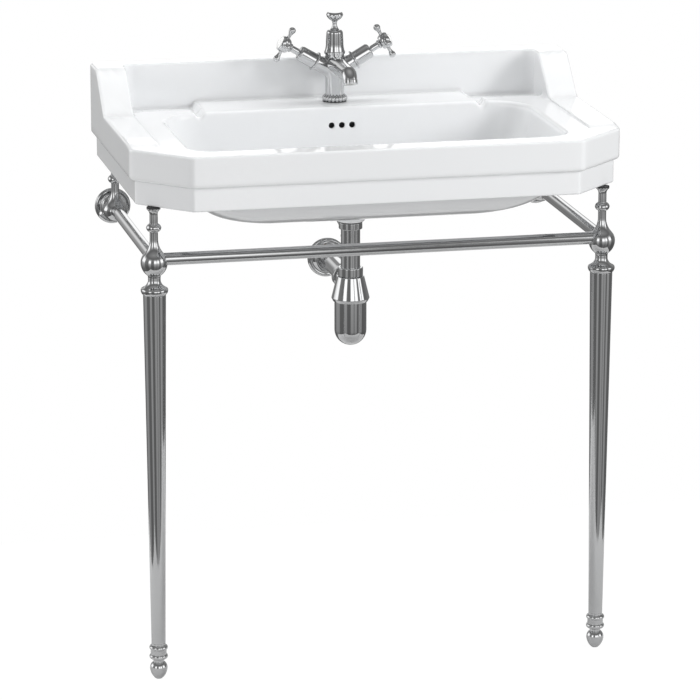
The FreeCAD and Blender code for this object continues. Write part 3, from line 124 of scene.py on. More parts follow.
# Tap: rows, sides and blend of the body, samples along the spout, seat of an index button and gap at a stem
BODY_ROWS, BODY_SIDES, BODY_BLEND = 181, 180, 9
RUN_COUNT, BEND_COUNT, TAIL_COUNT = 23, 25, 4
INDEX_SEAT, STEM_GAP = 0.001, 0.0015

# Trap: start of the outlet behind the waste's axis
OUTLET_INSET = 0.012

# Nozzle ring: shares of the spout's tip radius at heights above the tip
NOZZLE_RING = ((0.97, 0.0), (1.03, 0.0012), (1.03, 0.0058), (0.98, 0.007))

# Shares of the bowl's depth, and of the way in to its floor, at stations from rim to floor
BOWL_DEPTH_SHARES = (0.0, 0.30, 0.55, 0.75, 0.88, 0.96, 1.0)
BOWL_INSET_SHARES = (0.0, 0.035, 0.085, 0.20, 0.36, 0.60, 1.0)

# Turned outlines as shares of a radius and a height; a third number bows the line that ends there
FOOT_SHARES = ((0, 0), (0.33, 0), (0.94, 0.27, 0.2), (0.57, 0.48, 0.3), (0.57, 0.54), (0.80, 0.56),
               (1.0, 0.625, 0.3), (0.86, 0.69, 0.3), (0.86, 0.82), (1.0, 0.885, 0.3), (0.76, 0.95, 0.3),
               (0.76, 1.0), (0, 1.0))
COLLAR_SHARES = ((0, 0), (0.80, 0), (1.0, 0.26, 0.25), (0.90, 0.42, 0.3), (0.46, 0.80, -0.25), (0.46, 1.0),
                 (0, 1.0))
BELL_SHARES = ((0.2, 0), (1.0, 0), (1.0, 0.08), (0.95, 0.12, 0.3), (0.84, 0.50, -0.08), (0.79, 0.86),
               (0.55, 1.0, 0.35), (0.2, 1.0))
KNOB_SHARES = ((0, 0), (0.58, 0), (0.36, 0.14, -0.2), (0.25, 0.34, -0.1), (0.40, 0.52, -0.15),
               (1.0, 0.84, 0.22), (0.82, 1.0, 0.15), (0, 1.0))

# Studio: light panels by degrees to the right of the camera, how far up they show, and the room by height
PANEL_STOPS = ((-180, 0.75), (-175, 0.75), (-172, 0.12), (-161, 0.12), (-157, 0.5), (-153, 0.5),
               (-149, 0.12), (-125, 0.12), (-120, 0.9), (-86, 0.9), (-80, 0.10), (-48, 0.06), (-43, 1.0),
               (-27, 1.0), (-22, 0.06), (0, 0.05), (4, 1.0), (23.5, 1.0), (25.5, 0.06), (28, 0.06),
               (30, 1.0), (45, 1.0), (49, 0.08), (60, 0.08), (64, 1.0), (86, 1.0), (91, 0.02),
               (140, 0.10), (172, 0.12), (175, 0.75), (180, 0.75))
PANEL_COVER = ((-1.0, 0.0), (-0.5, 0.05), (-0.25, 0.17), (-0.1, 0.25), (0.0, 0.5), (0.08, 1.0), (0.35, 1.0),
               (0.47, 0.35), (0.6, 0.0), (1.0, 0.0))
STUDIO_STOPS = ((-1.0, 0.46), (-0.9, 0.44), (-0.75, 0.11), (-0.4, 0.11), (-0.25, 0.14), (-0.05, 0.20),
                (0.05, 0.12), (0.25, 0.10), (0.5, 0.25), (0.7, 0.18), (0.9, 0.30), (1.0, 0.50))

# White backdrop by the cosine to the camera's line, and the gain of the panels
BACKDROP_FROM, BACKDROP_FULL, PANEL_GAIN = 0.97, 0.995, 1.6

# Lamps: name, place, aim, size, the setting that holds the power, and the share of it
DECK_AIM, MIDDLE_AIM = (0.0, 0.0, 0.8), (0.0, 0.0, 0.7)
LAMPS = (
    ("over_lamp", (-0.2, 0.45, 2.6), (-0.2, 0.1, 0.8), (2.8, 0.7), "over", 1.0),
    ("key_lamp", (2.4, -1.7, 1.9), DECK_AIM, (0.6, 1.0), "key", 1.0),
    ("left_window_lamp", (-1.63, -2.75, 0.30), MIDDLE_AIM, (0.35, 0.6), "window", 0.5),
    ("right_window_lamp", (0.30, -3.19, 0.30), MIDDLE_AIM, (0.35, 0.6), "window", 1.5),
    ("left_lamp", (-1.6, 0.3, 0.8), MIDDLE_AIM, (0.4, 1.5), "side", 1.0),
)

# Floor: its sides, level and points each way, and how white it shows
FLOOR_X, FLOOR_Y, FLOOR_Z, FLOOR_POINTS = (-0.95, 0.95), (-0.75, 0.60), -0.0006, 9
FLOOR_MIRRORED, FLOOR_WHITE, FLOOR_GLOW = 0.1, 0.90, 1.07
WHITE = (1.0, 1.0, 1.0, 1.0)

# Width of the camera's sensor, in millimetres
SENSOR = 36.0


def number(name, description, default, **kind):
    """A number that a user can change."""
    return FloatProperty(name=name, description=description, default=default, **kind)


def length(name, description, metres):
    """A length, zero or more."""
    return number(name, description, metres, min=0.0, unit="LENGTH")


def angle(name, description, degrees):
    """An angle, given in degrees."""
    return number(name, description, math.radians(degrees), subtype="ANGLE")


def factor(name, description, default):
    """A number from zero to one."""
    return number(name, description, default, min=0.0, max=1.0, subtype="FACTOR")


def colour(name, description, rgb):
    """A colour that a user can change."""
    return FloatVectorProperty(name=name, description=description, default=rgb, size=3, min=0.0, max=1.0,
                               subtype="COLOR")


class BasinSizes(PropertyGroup):
    """Sizes of the ceramic."""

    half_width: length("Half width", "Half of the basin's width", 0.400)
    half_depth: length("Half depth", "Half of the basin's depth", 0.235)
    deck: length("Deck height", "Height of the deck above the floor", 0.8695)
    upper_band: length("Upper band", "Height of the upper band", 0.051)
    lower_band: length("Lower band", "Height of the lower band", 0.0385)
    band_step: length("Band step", "How far the lower band steps in", 0.009)
    cant: length("Corner cant", "Run of the canted front corners", 0.084)
    cant_round: length("Cant rounding", "Rounding at both ends of a cant", 0.018)
    upstand_rise: length("Upstand rise", "Height of the upstand above the deck", 0.0675)
    upstand: length("Upstand thickness", "Thickness of the upstand", 0.019)
    cheek: length("Cheek thickness", "Thickness of the cheeks and kerbs", 0.050)
    cheek_top: length("Cheek top", "Level run of a cheek from the wall", 0.063)
    cheek_slope: length("Cheek slope", "Run of a cheek's slope", 0.069)
    cheek_corner: length("Cheek corner", "Rounding between upstand and cheek", 0.020)
    kerb: length("Kerb rise", "Rise of the kerbs above the deck", 0.004)
    edge: length("Edge rounding", "Rounding of the glazed edges", 0.004)
    apron: length("Apron wall", "Thickness of the bands' wall", 0.014)
    deck_thickness: length("Deck thickness", "Thickness of the deck", 0.020)
    bowl_half_width: length("Bowl half width", "Half of the bowl's width at the rim", 0.307)
    bowl_front: length("Bowl front", "Distance of the bowl's rim behind the front", 0.046)
    bowl_length: length("Bowl length", "Bowl from front to back at the rim", 0.305)
    bowl_depth: length("Bowl depth", "Depth of the bowl", 0.138)
    bowl_wall: length("Bowl wall", "Thickness of the bowl's wall", 0.012)
    bowl_land: length("Bowl land", "Drop of the bowl's outside below the deck", 0.006)
    bowl_near_round: length("Front corner", "Rounding of the bowl's front corners", 0.038)
    bowl_far_round: length("Back corner", "Rounding of the bowl's back corners", 0.072)
    bowl_rim: length("Rim rounding", "Rounding of the bowl's rim", 0.006)
    floor_half_width: length("Floor half width", "Half of the bowl floor's width", 0.066)
    floor_length: length("Floor length", "Bowl floor from front to back", 0.092)
    floor_round: length("Floor rounding", "Rounding of the bowl floor's corners", 0.040)
    ledge: length("Ledge half width", "Half of the tap ledge's width", 0.232)
    tray_length: length("Tray length", "Soap trays from front to back", 0.062)
    tray_depth: length("Tray depth", "Depth of the soap trays", 0.0095)
    notch: length("Notch width", "Width of a tray's drain notch", 0.013)
    notch_depth: length("Notch depth", "Depth of a tray's drain notch", 0.0075)
    waste_y: length("Waste place", "Distance of the waste behind the middle", 0.050)
    waste_seat: length("Waste seat", "Radius of the seat for the waste flange", 0.0323)
    boss: length("Boss radius", "Radius of the waste boss at its foot", 0.024)
    boss_top: length("Boss flare", "Radius of the waste boss at the bowl", 0.0326)
    boss_drop: length("Boss drop", "Drop of the boss below the bowl's floor", 0.040)
    waste_hole: length("Waste hole", "Radius of the waste hole", 0.018)
    overflow: length("Overflow radius", "Radius of an overflow hole", 0.005)
    overflow_pitch: length("Overflow pitch", "Spacing of the overflow holes", 0.0173)
    overflow_drop: length("Overflow drop", "Overflow holes below the deck", 0.0305)
    duct_half_width: length("Duct half width", "Half of the overflow duct's outer width", 0.032)
    duct_depth: length("Duct depth", "Overflow duct behind the bowl's rim", 0.028)
    bolt: length("Wall bolt radius", "Radius of a wall bolt's hole", 0.006)
    bolt_span: length("Wall bolt span", "Distance between the wall bolts", 0.280)
    bolt_drop: length("Wall bolt drop", "Wall bolts below the deck", 0.052)


class StandSizes(PropertyGroup):
    """Sizes of the washstand."""

    leg_x: length("Leg place", "Distance of the legs from the middle", 0.366)
    leg_y: length("Leg setback", "Distance of the legs in front of the middle", 0.170)
    rear_y: length("Rear place", "Distance of the rear castings behind the middle", 0.205)
    rail_z: length("Rail height", "Height of the rails", 0.695)
    rail: length("Rail radius", "Radius of the rails", 0.010)
    rail_seat: length("Rail seat", "Rail end from the ball's centre", 0.013)
    ball: length("Ball radius", "Radius of a casting's ball", 0.021)
    neck: length("Neck radius", "Radius of the neck under the ball", 0.010)
    neck_drop: length("Neck drop", "Drop of the neck below the ball's centre", 0.029)
    post: length("Post radius", "Radius of a casting's post", 0.0066)
    post_rise: length("Post rise", "Top of a casting above the ball's centre", 0.083)
    ring: length("Ring radius", "Radius of the post's ring", 0.012)
    ring_height: length("Ring height", "Height of the post's ring", 0.0136)
    ring_rise: length("Ring rise", "Ring above the ball's centre", 0.0515)
    post_foot: length("Post top", "Radius of a post's flared top", 0.011)
    collar: length("Collar radius", "Radius of the bell collar", 0.0218)
    collar_height: length("Collar height", "Height of the bell collar", 0.028)
    leg_top: length("Leg top radius", "Radius of a leg at its top", 0.0182)
    leg_bottom: length("Leg bottom radius", "Radius of a leg at its foot", 0.0114)
    foot: length("Foot radius", "Radius of a foot's beads", 0.015)
    foot_height: length("Foot height", "Height of a foot", 0.060)


class TapSizes(PropertyGroup):
    """Sizes of the mixer tap."""

    tap_y: length("Tap place", "Distance of the tap behind the middle", 0.172)
    foot_z: length("Tap foot", "Height of the tap's foot", 0.8705)
    base: length("Base ring radius", "Radius of the base ring", 0.0213)
    base_height: length("Base ring height", "Height of the base ring", 0.012)
    lobes: IntProperty(name="Base lobes", description="Lobes round the base ring", default=18, min=3)
    column: length("Column radius", "Radius of the column", 0.016)
    body_rise: length("Body rise", "Height of the body", 0.0785)
    arm_z: length("Arm height", "Height where the arms meet the tap's axis", 0.918)
    arm_angle: angle("Arm angle", "Rise of the arms", 30)
    arm: length("Arm radius", "Radius of an arm", 0.0125)
    arm_length: length("Arm length", "Length of an arm from the tap's axis", 0.040)
    arm_collar: length("Arm collar", "Radius of an arm's end collar", 0.0165)
    collar_width: length("Collar width", "Width of an arm's end collar", 0.003)
    bonnet: length("Bonnet radius", "Radius of a bonnet", 0.01275)
    bonnet_length: length("Bonnet length", "Length of a bonnet", 0.030)
    bonnet_round: length("Bonnet rounding", "Rounding of a bonnet's end", 0.004)
    handle_reach: length("Handle reach", "Middle of a handle from the tap's axis", 0.098)
    stem: length("Stem radius", "Radius of a handle's stem", 0.0055)
    knuckle: length("Knuckle radius", "Radius of the ring on a stem", 0.0075)
    hub: length("Hub radius", "Radius of a handle's hub", 0.013)
    hub_length: length("Hub length", "Length of a handle's hub", 0.016)
    hub_end: length("Hub end radius", "Radius of a hub's outer end", 0.0122)
    index: length("Index radius", "Radius of an index button", 0.011)
    index_rise: length("Index rise", "Rise of an index button's dome", 0.0043)
    spoke_reach: length("Spoke reach", "Middle of a spoke's ball from the hub's axis", 0.0265)
    spoke: length("Spoke radius", "Radius of a spoke at the hub", 0.0026)
    spoke_ball: length("Spoke ball", "Radius of a spoke's ball", 0.0057)
    spout_z: length("Spout height", "Height of the spout's level run", 0.933)
    spout_reach: length("Spout reach", "Tip of the spout in front of the tap's axis", 0.1185)
    spout_bend: length("Spout bend", "Radius of the spout's bend", 0.014)
    spout_turn: angle("Spout turn", "Angle of the spout's bend", 70)
    spout_root: length("Spout root", "Radius of the spout at the body", 0.0145)
    spout_tip: length("Spout tip", "Radius of the spout at its tip", 0.0122)
    spout_tail: length("Spout tail", "Straight end of the spout", 0.005)
    nozzle: length("Nozzle radius", "Radius of the aerator", 0.0086)
    bell: length("Bell radius", "Radius of the bell cover", 0.0173)
    bell_height: length("Bell height", "Height of the bell cover", 0.040)
    knob: length("Knob radius", "Radius of the lift knob", 0.014)
    knob_height: length("Knob height", "Height of the lift knob", 0.0295)
    knob_gap: length("Knob gap", "Gap between knob and bell cover", 0.0003)


class WasteSizes(PropertyGroup):
    """Sizes of the waste and the bottle trap."""

    nut: length("Back nut radius", "Radius of the back nut", 0.0196)
    tail: length("Tail radius", "Radius of the tail pipe", 0.016)
    tail_wall: length("Tail wall", "Wall of the tail and outlet pipes", 0.0015)
    inlet_nut: length("Inlet nut radius", "Radius of the trap's inlet nut", 0.0208)
    trap_top: length("Trap top", "Height of the trap's top", 0.614)
    inlet_height: length("Inlet nut height", "Height of the trap's inlet nut", 0.015)
    cone_top: length("Cone top radius", "Radius of the trap's cone at its top", 0.0226)
    cone_foot: length("Cone foot radius", "Radius of the trap's cone at its foot", 0.0317)
    cone_height: length("Cone height", "Height of the trap's cone", 0.037)
    cone_lip: length("Cone lip", "Height of the cone's turned-in lip", 0.0055)
    cup: length("Cup radius", "Radius of the trap's cup", 0.0267)
    cup_end: length("Cup end", "Height of the cup's lowest point", 0.4815)
    outlet_z: length("Outlet height", "Height of the outlet pipe", 0.588)
    outlet_boss: length("Outlet boss", "Radius of the trap's outlet", 0.019)
    outlet_nut: length("Outlet nut radius", "Radius of the outlet nut", 0.022)
    rose: length("Rose radius", "Radius of the wall rose", 0.0335)
    rose_rim: length("Rose rim", "Height of the wall rose's rim", 0.005)
    rose_height: length("Rose height", "Height of the wall rose", 0.013)


class Finishes(PropertyGroup):
    """Colours and gloss of the materials."""

    glaze: colour("Glaze", "Colour of the ceramic's glaze", (0.86, 0.87, 0.88))
    glaze_roughness: factor("Glaze roughness", "Roughness of the glaze", 0.07)
    chrome: colour("Chrome", "Colour of the chrome plate", (0.62, 0.625, 0.63))
    chrome_roughness: factor("Chrome roughness", "Roughness of the chrome plate", 0.05)
    brass: colour("Brass", "Colour of the bare brass", (0.62, 0.43, 0.17))
    steel: colour("Steel", "Colour of the plain steel", (0.42, 0.42, 0.43))
    rubber: colour("Rubber", "Colour of the rubber", (0.03, 0.03, 0.032))
    nylon: colour("Nylon", "Colour of the nylon", (0.70, 0.70, 0.68))
    # Index buttons: white porcelain given a mid-grey colour, a painted shade for the lesser light on them
    porcelain: colour("Porcelain", "Colour of the index buttons", (0.46, 0.46, 0.45))
    # Painted shade: near-black colour of the faces deep in the overflow holes, standing in for the shade
    # inside them
    hollow: colour("Hollow", "Colour inside the overflow", (0.035, 0.035, 0.037))


class StageSettings(PropertyGroup):
    """Camera, lamps and floor."""

    yaw: angle("Yaw", "Camera turn to the right", 12.60)
    pitch: angle("Pitch", "Camera tilt down", 14.55)
    roll: angle("Roll", "Camera roll", 0.06)
    distance: length("Distance", "Camera to the middle of the washbasin", 6.597)
    aim_height: length("Aim height", "Height that the camera is aimed from", 0.450)
    slide: number("Slide", "Camera moved to its right", -0.0115, unit="LENGTH")
    lift: number("Lift", "Camera moved up in its frame", 0.0334, unit="LENGTH")
    focal: number("Focal length", "In picture widths", 4000.0 / 700.0, min=0.1)
    over: number("Overhead light", "Power of the overhead lamp", 28.5, unit="POWER")
    key: number("Key light", "Power of the lamp at the front right", 38.0, unit="POWER")
    window: number("Window light", "Power shared by the two small front lamps", 12.5, unit="POWER")
    side: number("Side light", "Power of the lamp at the left", 7.0, unit="POWER")
    world: factor("World", "Brightness of the surroundings", 1.0)
    floor: colour("Floor", "Colour of the floor", (0.72, 0.72, 0.72))


# Shapes

def bowed(points):
    """Outline through points; where a third number k is given, the side is an arc of turn 4 atan(k)."""
    line = [np.array(points[0][:2], float)]
    for point in points[1:]:
        start, end = line[-1], np.array(point[:2], float)
        bulge = point[2] if len(point) == 3 else 0.0
        if bulge == 0.0:
            line.append(end)
            continue
        half = (end - start) / 2
        reach = np.hypot(*half)
        out = np.array((half[1], -half[0])) / reach
        sag = bulge * reach
        radius = (reach ** 2 + sag ** 2) / (2 * abs(sag))
        centre = (start + end) / 2 + out * (sag - math.copysign(radius, bulge))
        turn = 4 * math.atan(bulge) * np.arange(1, ARC_STEPS + 1) / ARC_STEPS
        arm = start - centre
        line.extend(np.stack((centre[0] + arm[0] * np.cos(turn) - arm[1] * np.sin(turn),
                              centre[1] + arm[0] * np.sin(turn) + arm[1] * np.cos(turn)), axis=1))
    return np.array(line)


def softened(line, radius, closed=False):
    """Corners C replaced by a parabola (1-t)^2 A + 2t(1-t) C + t^2 D, with a point held before and after."""
    count = len(line)
    soft = []
    mix = np.linspace(0.0, 1.0, ROUND_STEPS + 1)[:, None]
    for index, corner in enumerate(line):
        if not closed and index in (0, count - 1):
            soft.append(corner[None])
            continue
        before, after = line[index - 1] - corner, line[(index + 1) % count] - corner
        far, near = np.hypot(*before), np.hypot(*after)
        cosine = np.dot(before, after) / max(far * near, TINY)
        if math.pi - math.acos(max(-1.0, min(1.0, cosine))) < ROUND_FROM:
            soft.append(corner[None])
            continue
        step_in = before / far * min(radius, ROUND_SHARE * far)
        step_out = after / near * min(radius, ROUND_SHARE * near)
        a, d = corner + step_in, corner + step_out
        curve = (1 - mix) ** 2 * a + 2 * mix * (1 - mix) * corner + mix ** 2 * d
        soft.append(np.vstack((corner + step_in * ROUND_HOLD, curve, corner + step_out * ROUND_HOLD)))
    return np.vstack(soft)


def drum(radius, low, high, bore=0.0):
    """Outline of a plain drum or, with a bore, of a tube."""
    return [(bore, low), (radius, low), (radius, high), (bore, high)]


def scaled(shares, radius, height):
    """Outline of shares stretched to a radius and a height."""
    return [(point[0] * radius, point[1] * height) + tuple(point[2:]) for point in shares]


def grid_faces(rows, columns, wrap_rows=False, wrap_columns=True):
    """Quads of a grid: each joins a point to the next along its row and to both of the next row."""
    row = np.arange(rows if wrap_rows else rows - 1)[:, None]
    column = np.arange(columns if wrap_columns else columns - 1)[None, :]
    above, beside = (row + 1) % rows, (column + 1) % columns
    corners = (row * columns + column, row * columns + beside,
               above * columns + beside, above * columns + column)
    return np.stack([np.broadcast_to(c, (len(row), column.shape[1])).ravel() for c in corners], axis=1)


def frame_of(axis):
    """Two directions square to an axis and to each other."""
    axis = np.array(axis, float) / np.linalg.norm(axis)
    guide = np.array((0.0, 1.0, 0.0)) if abs(axis[1]) < 0.9 else np.array((1.0, 0.0, 0.0))
    across = np.cross(guide, axis)
    across /= np.linalg.norm(across)
    return across, np.cross(axis, across), axis


def turned(outline, place, axis=UP, soft=0.0006, sides=96, closed=False, lobes=0, lobe_depth=0.0):
    """P(u, v) = place + z(v) axis + r(v, u) (cos u across + sin u beside), r lobed as |sin(n u / 2)|."""
    line = softened(bowed(outline), soft, closed)
    across, beside, along = frame_of(axis)
    turn = 2 * math.pi * np.arange(sides) / sides
    radial = np.cos(turn)[:, None] * across + np.sin(turn)[:, None] * beside
    swell = np.ones(sides)
    if lobes:
        swell = 1 - lobe_depth * (1 - np.abs(np.sin(lobes * turn / 2)) ** LOBE_POWER)
    radius = line[:, 0][:, None] * swell
    points = np.array(place) + line[:, 1][:, None, None] * along + radius[:, :, None] * radial
    return points.reshape(-1, 3), grid_faces(len(line), sides, wrap_rows=closed)


def carried(path, radii, sides=72):
    """P(u, v) = path(v) + r(v) (cos u X + sin u N(v)), N square to the path in the upright plane."""
    tangent = np.gradient(path, axis=0)
    tangent /= np.linalg.norm(tangent, axis=1)[:, None]
    across = np.array(ALONG_X, float)
    normal = np.cross(across, tangent)
    turn = 2 * math.pi * np.arange(sides) / sides
    ring = np.cos(turn)[:, None] * across + np.sin(turn)[:, None] * normal[:, None, :]
    points = path[:, None, :] + np.array(radii)[:, None, None] * ring
    return points.reshape(-1, 3), grid_faces(len(path), sides)


def joined(surfaces):
    """Several surfaces as one list of points and faces."""
    points, faces, count = [], [], 0
    for spots, quads in surfaces:
        points.append(spots)
        faces.append(quads + count)
        count += len(spots)
    return np.vstack(points), np.vstack(faces)


def smooth_mesh(name, surface, second=None):
    """Smooth mesh of a surface, double points merged and faces outwards; second marks a second finish."""
    points, faces = surface
    mesh = bpy.data.meshes.new(name)
    mesh.from_pydata(points.tolist(), [], faces.tolist())
    if second is not None:
        mesh.polygons.foreach_set("material_index", second.astype(np.int32))
    shell = bmesh.new()
    shell.from_mesh(mesh)
    bmesh.ops.remove_doubles(shell, verts=shell.verts, dist=MERGE)
    bmesh.ops.recalc_face_normals(shell, faces=shell.faces)
    shell.to_mesh(mesh)
    shell.free()
    mesh.shade_smooth()
    return mesh


def add_object(name, data):
    """Object in the scene that shows some data."""
    item = bpy.data.objects.new(name, data)
    bpy.context.scene.collection.objects.link(item)
    return item


def add_piece(name, surface, finish, body=ROOT, nodes=(), second=None):
    """Piece with a surface's mesh that rides on a body and stands for CAD nodes."""
    mesh = smooth_mesh(name, surface, second)
    mesh.set_sharp_from_angle(angle=SHARP)
    piece = add_object(name, mesh)
    mesh.materials.append(bpy.data.materials[finish])
    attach(piece, body)
    if nodes:
        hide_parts(*nodes)
    return piece


def plate(node, surface, name=None, body=ROOT):
    """Chrome piece that stands for one CAD node."""
    add_piece((name or node) + "_skin", surface, PLATE, body, nodes=(node,))


def bored(piece, cutter):
    """Take the volume of a closed surface out of a piece, and leave no modifier behind."""
    mesh = smooth_mesh("bore", cutter)
    tool = add_object("bore", mesh)
    change = piece.modifiers.new("Bore", "BOOLEAN")
    change.operation, change.solver, change.object = "DIFFERENCE", "EXACT", tool
    graph = bpy.context.evaluated_depsgraph_get()
    result = bpy.data.meshes.new_from_object(piece.evaluated_get(graph))
    piece.modifiers.clear()
    piece.data = result
    result.set_sharp_from_angle(angle=SHARP)
    bpy.data.objects.remove(tool)
    bpy.data.meshes.remove(mesh)


def dress(finish, *nodes):
    """Give CAD nodes that stay in view a finish."""
    for name in nodes:
        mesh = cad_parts[name].data
        mesh.materials.clear()
        mesh.materials.append(bpy.data.materials[finish])


# Materials

class Value:
    """A socket of a material; sums on it add Math nodes."""

    def __init__(self, recipe, socket):
        self.recipe = recipe
        self.socket = socket

    def math(self, operation, first, second):
        """Math node on two sockets or numbers."""
        return self.recipe.node("ShaderNodeMath", {"operation": operation}, {0: first, 1: second})

    def __add__(self, other):
        return self.math("ADD", self, other)

    __radd__ = __add__

    def __mul__(self, other):
        return self.math("MULTIPLY", self, other)

    __rmul__ = __mul__

    def __truediv__(self, other):
        return self.math("DIVIDE", self, other)


class Recipe:
    """A node tree and the means to add nodes to it."""

    def __init__(self, tree):
        self.tree = tree
        tree.nodes.clear()

    def node(self, kind, settings=None, sockets=None, output=0):
        """New node with settings and sockets; gives one of its outputs."""
        item = self.tree.nodes.new(kind)
        for key, setting in (settings or {}).items():
            if key == "stops":
                self.set_stops(item.color_ramp, setting)
            else:
                setattr(item, key, setting)
        for key, given in (sockets or {}).items():
            if isinstance(given, Value):
                self.tree.links.new(given.socket, item.inputs[key])
            else:
                item.inputs[key].default_value = given
        return Value(self, item.outputs[output]) if item.outputs else item

    def set_stops(self, ramp, stops):
        """Grey stops of a colour ramp."""
        while len(ramp.elements) < len(stops):
            ramp.elements.new(0.5)
        for element, (place, shade) in zip(ramp.elements, stops):
            element.position = place
            element.color = (shade, shade, shade, 1.0)

    def mix(self, amount, low, high):
        """Colour between two colours."""
        return self.node("ShaderNodeMix", {"data_type": "RGBA"}, {0: amount, 6: low, 7: high}, output=2)


def new_finish(name):
    """An empty material and its recipe."""
    material = bpy.data.materials.new(name)
    material.use_nodes = True
    return Recipe(material.node_tree)


def close_finish(recipe, sockets):
    """Principled shader with the given sockets, and the material's output."""
    shader = recipe.node("ShaderNodeBsdfPrincipled", {}, sockets)
    recipe.node("ShaderNodeOutputMaterial", {}, {"Surface": shader})


def noise(recipe, scale, detail=2.0, roughness=0.5):
    """Cloudy pattern from zero to one on the object's own coordinates."""
    place = recipe.node("ShaderNodeTexCoord", output=3)
    return recipe.node("ShaderNodeTexNoise", {},
                       {"Vector": place, "Scale": scale, "Detail": detail, "Roughness": roughness})


def bump(recipe, height, strength, distance):
    """Normal bent by a height pattern."""
    return recipe.node("ShaderNodeBump", {}, {"Height": height, "Strength": strength, "Distance": distance})


def rgba(shade, gain=1.0):
    """A colour with full cover, made lighter or darker."""
    return tuple(min(1.0, part * gain) for part in shade) + (1.0,)


def make_glaze(name, shade, roughness):
    """Glazed ceramic: a faint drift of tone, a slow ripple and a clear coat."""
    recipe = new_finish(name)
    drift = noise(recipe, 5.0)
    ripple = noise(recipe, 22.0, 1.0)
    close_finish(recipe, {
        "Base Color": recipe.mix(drift, rgba(shade, 0.985), rgba(shade, 1.01)),
        "Roughness": roughness + 0.03 * noise(recipe, 60.0),
        "IOR": 1.52,
        "Coat Weight": 0.5,
        "Coat Roughness": 0.02,
        "Normal": bump(recipe, ripple, 0.05, 0.002),
    })


def make_plate(name, shade, roughness):
    """Polished plate: mirror metal with faint cloudy wiping marks."""
    recipe = new_finish(name)
    wipe = noise(recipe, 45.0, 4.0, 0.6)
    close_finish(recipe, {
        "Base Color": recipe.mix(wipe, rgba(shade, 0.97), rgba(shade, 1.03)),
        "Metallic": 1.0,
        "Roughness": roughness + 0.05 * wipe,
        "Normal": bump(recipe, noise(recipe, 120.0), 0.01, 0.0005),
    })


def make_turned_metal(name, shade, roughness):
    """Bare machined metal: fine tool lines on the object's own height."""
    recipe = new_finish(name)
    place = recipe.node("ShaderNodeTexCoord", output=3)
    lines = recipe.node("ShaderNodeTexWave", {"bands_direction": "Z"},
                        {"Vector": place, "Scale": 400.0, "Distortion": 1.0, "Detail": 2.0})
    close_finish(recipe, {
        "Base Color": recipe.mix(lines, rgba(shade, 0.9), rgba(shade, 1.05)),
        "Metallic": 1.0,
        "Roughness": roughness + 0.1 * lines,
        "Normal": bump(recipe, lines, 0.1, 0.0002),
    })


def make_matt(name, shade, roughness):
    """Matt rubber or nylon with a fine moulded grain."""
    recipe = new_finish(name)
    grain = noise(recipe, 900.0, 3.0)
    close_finish(recipe, {
        "Base Color": recipe.mix(noise(recipe, 60.0), rgba(shade, 0.9), rgba(shade, 1.08)),
        "Roughness": roughness + 0.15 * grain,
        "Normal": bump(recipe, grain, 0.15, 0.0003),
    })


class WASHBASIN_OT_finishes(Operator):
    """Make the materials"""

    bl_idname = "washbasin.finishes"
    bl_label = "Finishes"

    def execute(self, context):
        looks = context.scene.washbasin_finishes
        make_glaze("white_glaze", looks.glaze, looks.glaze_roughness)
        # Index buttons' glaze, darkened as a painted shade
        make_glaze("porcelain", looks.porcelain, looks.glaze_roughness)
        make_plate(PLATE, looks.chrome, looks.chrome_roughness)
        make_turned_metal("bare_brass", looks.brass, 0.25)
        make_turned_metal("plain_steel", looks.steel, 0.3)
        make_matt("black_rubber", looks.rubber, 0.6)
        make_matt("white_nylon", looks.nylon, 0.45)
        # Near-black matt finish: painted shade inside the overflow holes
        make_matt("overflow_dark", looks.hollow, 0.8)
        return {"FINISHED"}


# Basin

def straight(start, end, count):
    """Points along a line, its end left out."""
    mix = (np.arange(count) / count)[:, None]
    return np.array(start) + (np.array(end) - np.array(start)) * mix


def arc(centre, radius, begin, sweep, count):
    """Points round an arc given in degrees, its end left out."""
    turn = np.radians(begin + sweep * np.arange(count) / count)
    return np.array(centre) + radius * np.stack((np.cos(turn), np.sin(turn)), axis=1)


def bend(points, count):
    """Points spread evenly along a broken line, its end left out."""
    spots = np.array(points, float)
    run = np.concatenate(([0.0], np.cumsum(np.hypot(*np.diff(spots, axis=0).T))))
    at = run[-1] * np.arange(count) / count
    return np.stack((np.interp(at, run, spots[:, 0]), np.interp(at, run, spots[:, 1])), axis=1)


def front_corner(half, front, cant, rounding, near, count):
    """Left front corner, going down the side: a cant with rounded ends, or a plain round."""
    if not cant:
        return arc((near - half, front + near), near, 180, 90, count)
    slack = rounding * CANT_TANGENT
    third = count // 3
    first = arc((rounding - half, front + cant + slack), rounding, 180, 45, third)
    last = arc((cant + slack - half, front + rounding), rounding, 225, 45, third)
    reach = rounding * math.cos(math.radians(45))
    across = straight((rounding - reach - half, front + cant + slack - reach),
                      (cant + slack - half - reach, front + rounding - reach), count - 2 * third)
    return np.vstack((first, across, last))


def plan_loop(half, front, back, far, near=0.0, cant=0.0, rounding=0.0):
    """Closed plan line: right side, rear corner, back, rear corner, left side, corner, front, corner."""
    right, rear_right, rear, rear_left, left, front_left, face, _ = LOOP_COUNTS
    slack = cant + rounding * CANT_TANGENT if cant else near
    low = front + slack
    corner = front_corner(half, front, cant, rounding, near, front_left)
    ends = np.vstack((corner, (slack - half, front)))
    mirrored = (ends * np.array((-1.0, 1.0)))[::-1][:-1]
    return np.vstack((
        straight((half, low), (half, back - far), right),
        arc((half - far, back - far), far, 0, 90, rear_right),
        straight((half - far, back), (far - half, back), rear),
        arc((far - half, back - far), far, 90, 90, rear_left),
        straight((-half, back - far), (-half, low), left),
        corner,
        straight((slack - half, front), (half - slack, front), face),
        mirrored,
    ))


def smooth_step(value, width):
    """Rises from zero to one over a width either side of zero: 3t^2 - 2t^3."""
    mix = np.clip(value / (2 * width) + 0.5, 0.0, 1.0)
    return mix * mix * (3 - 2 * mix)


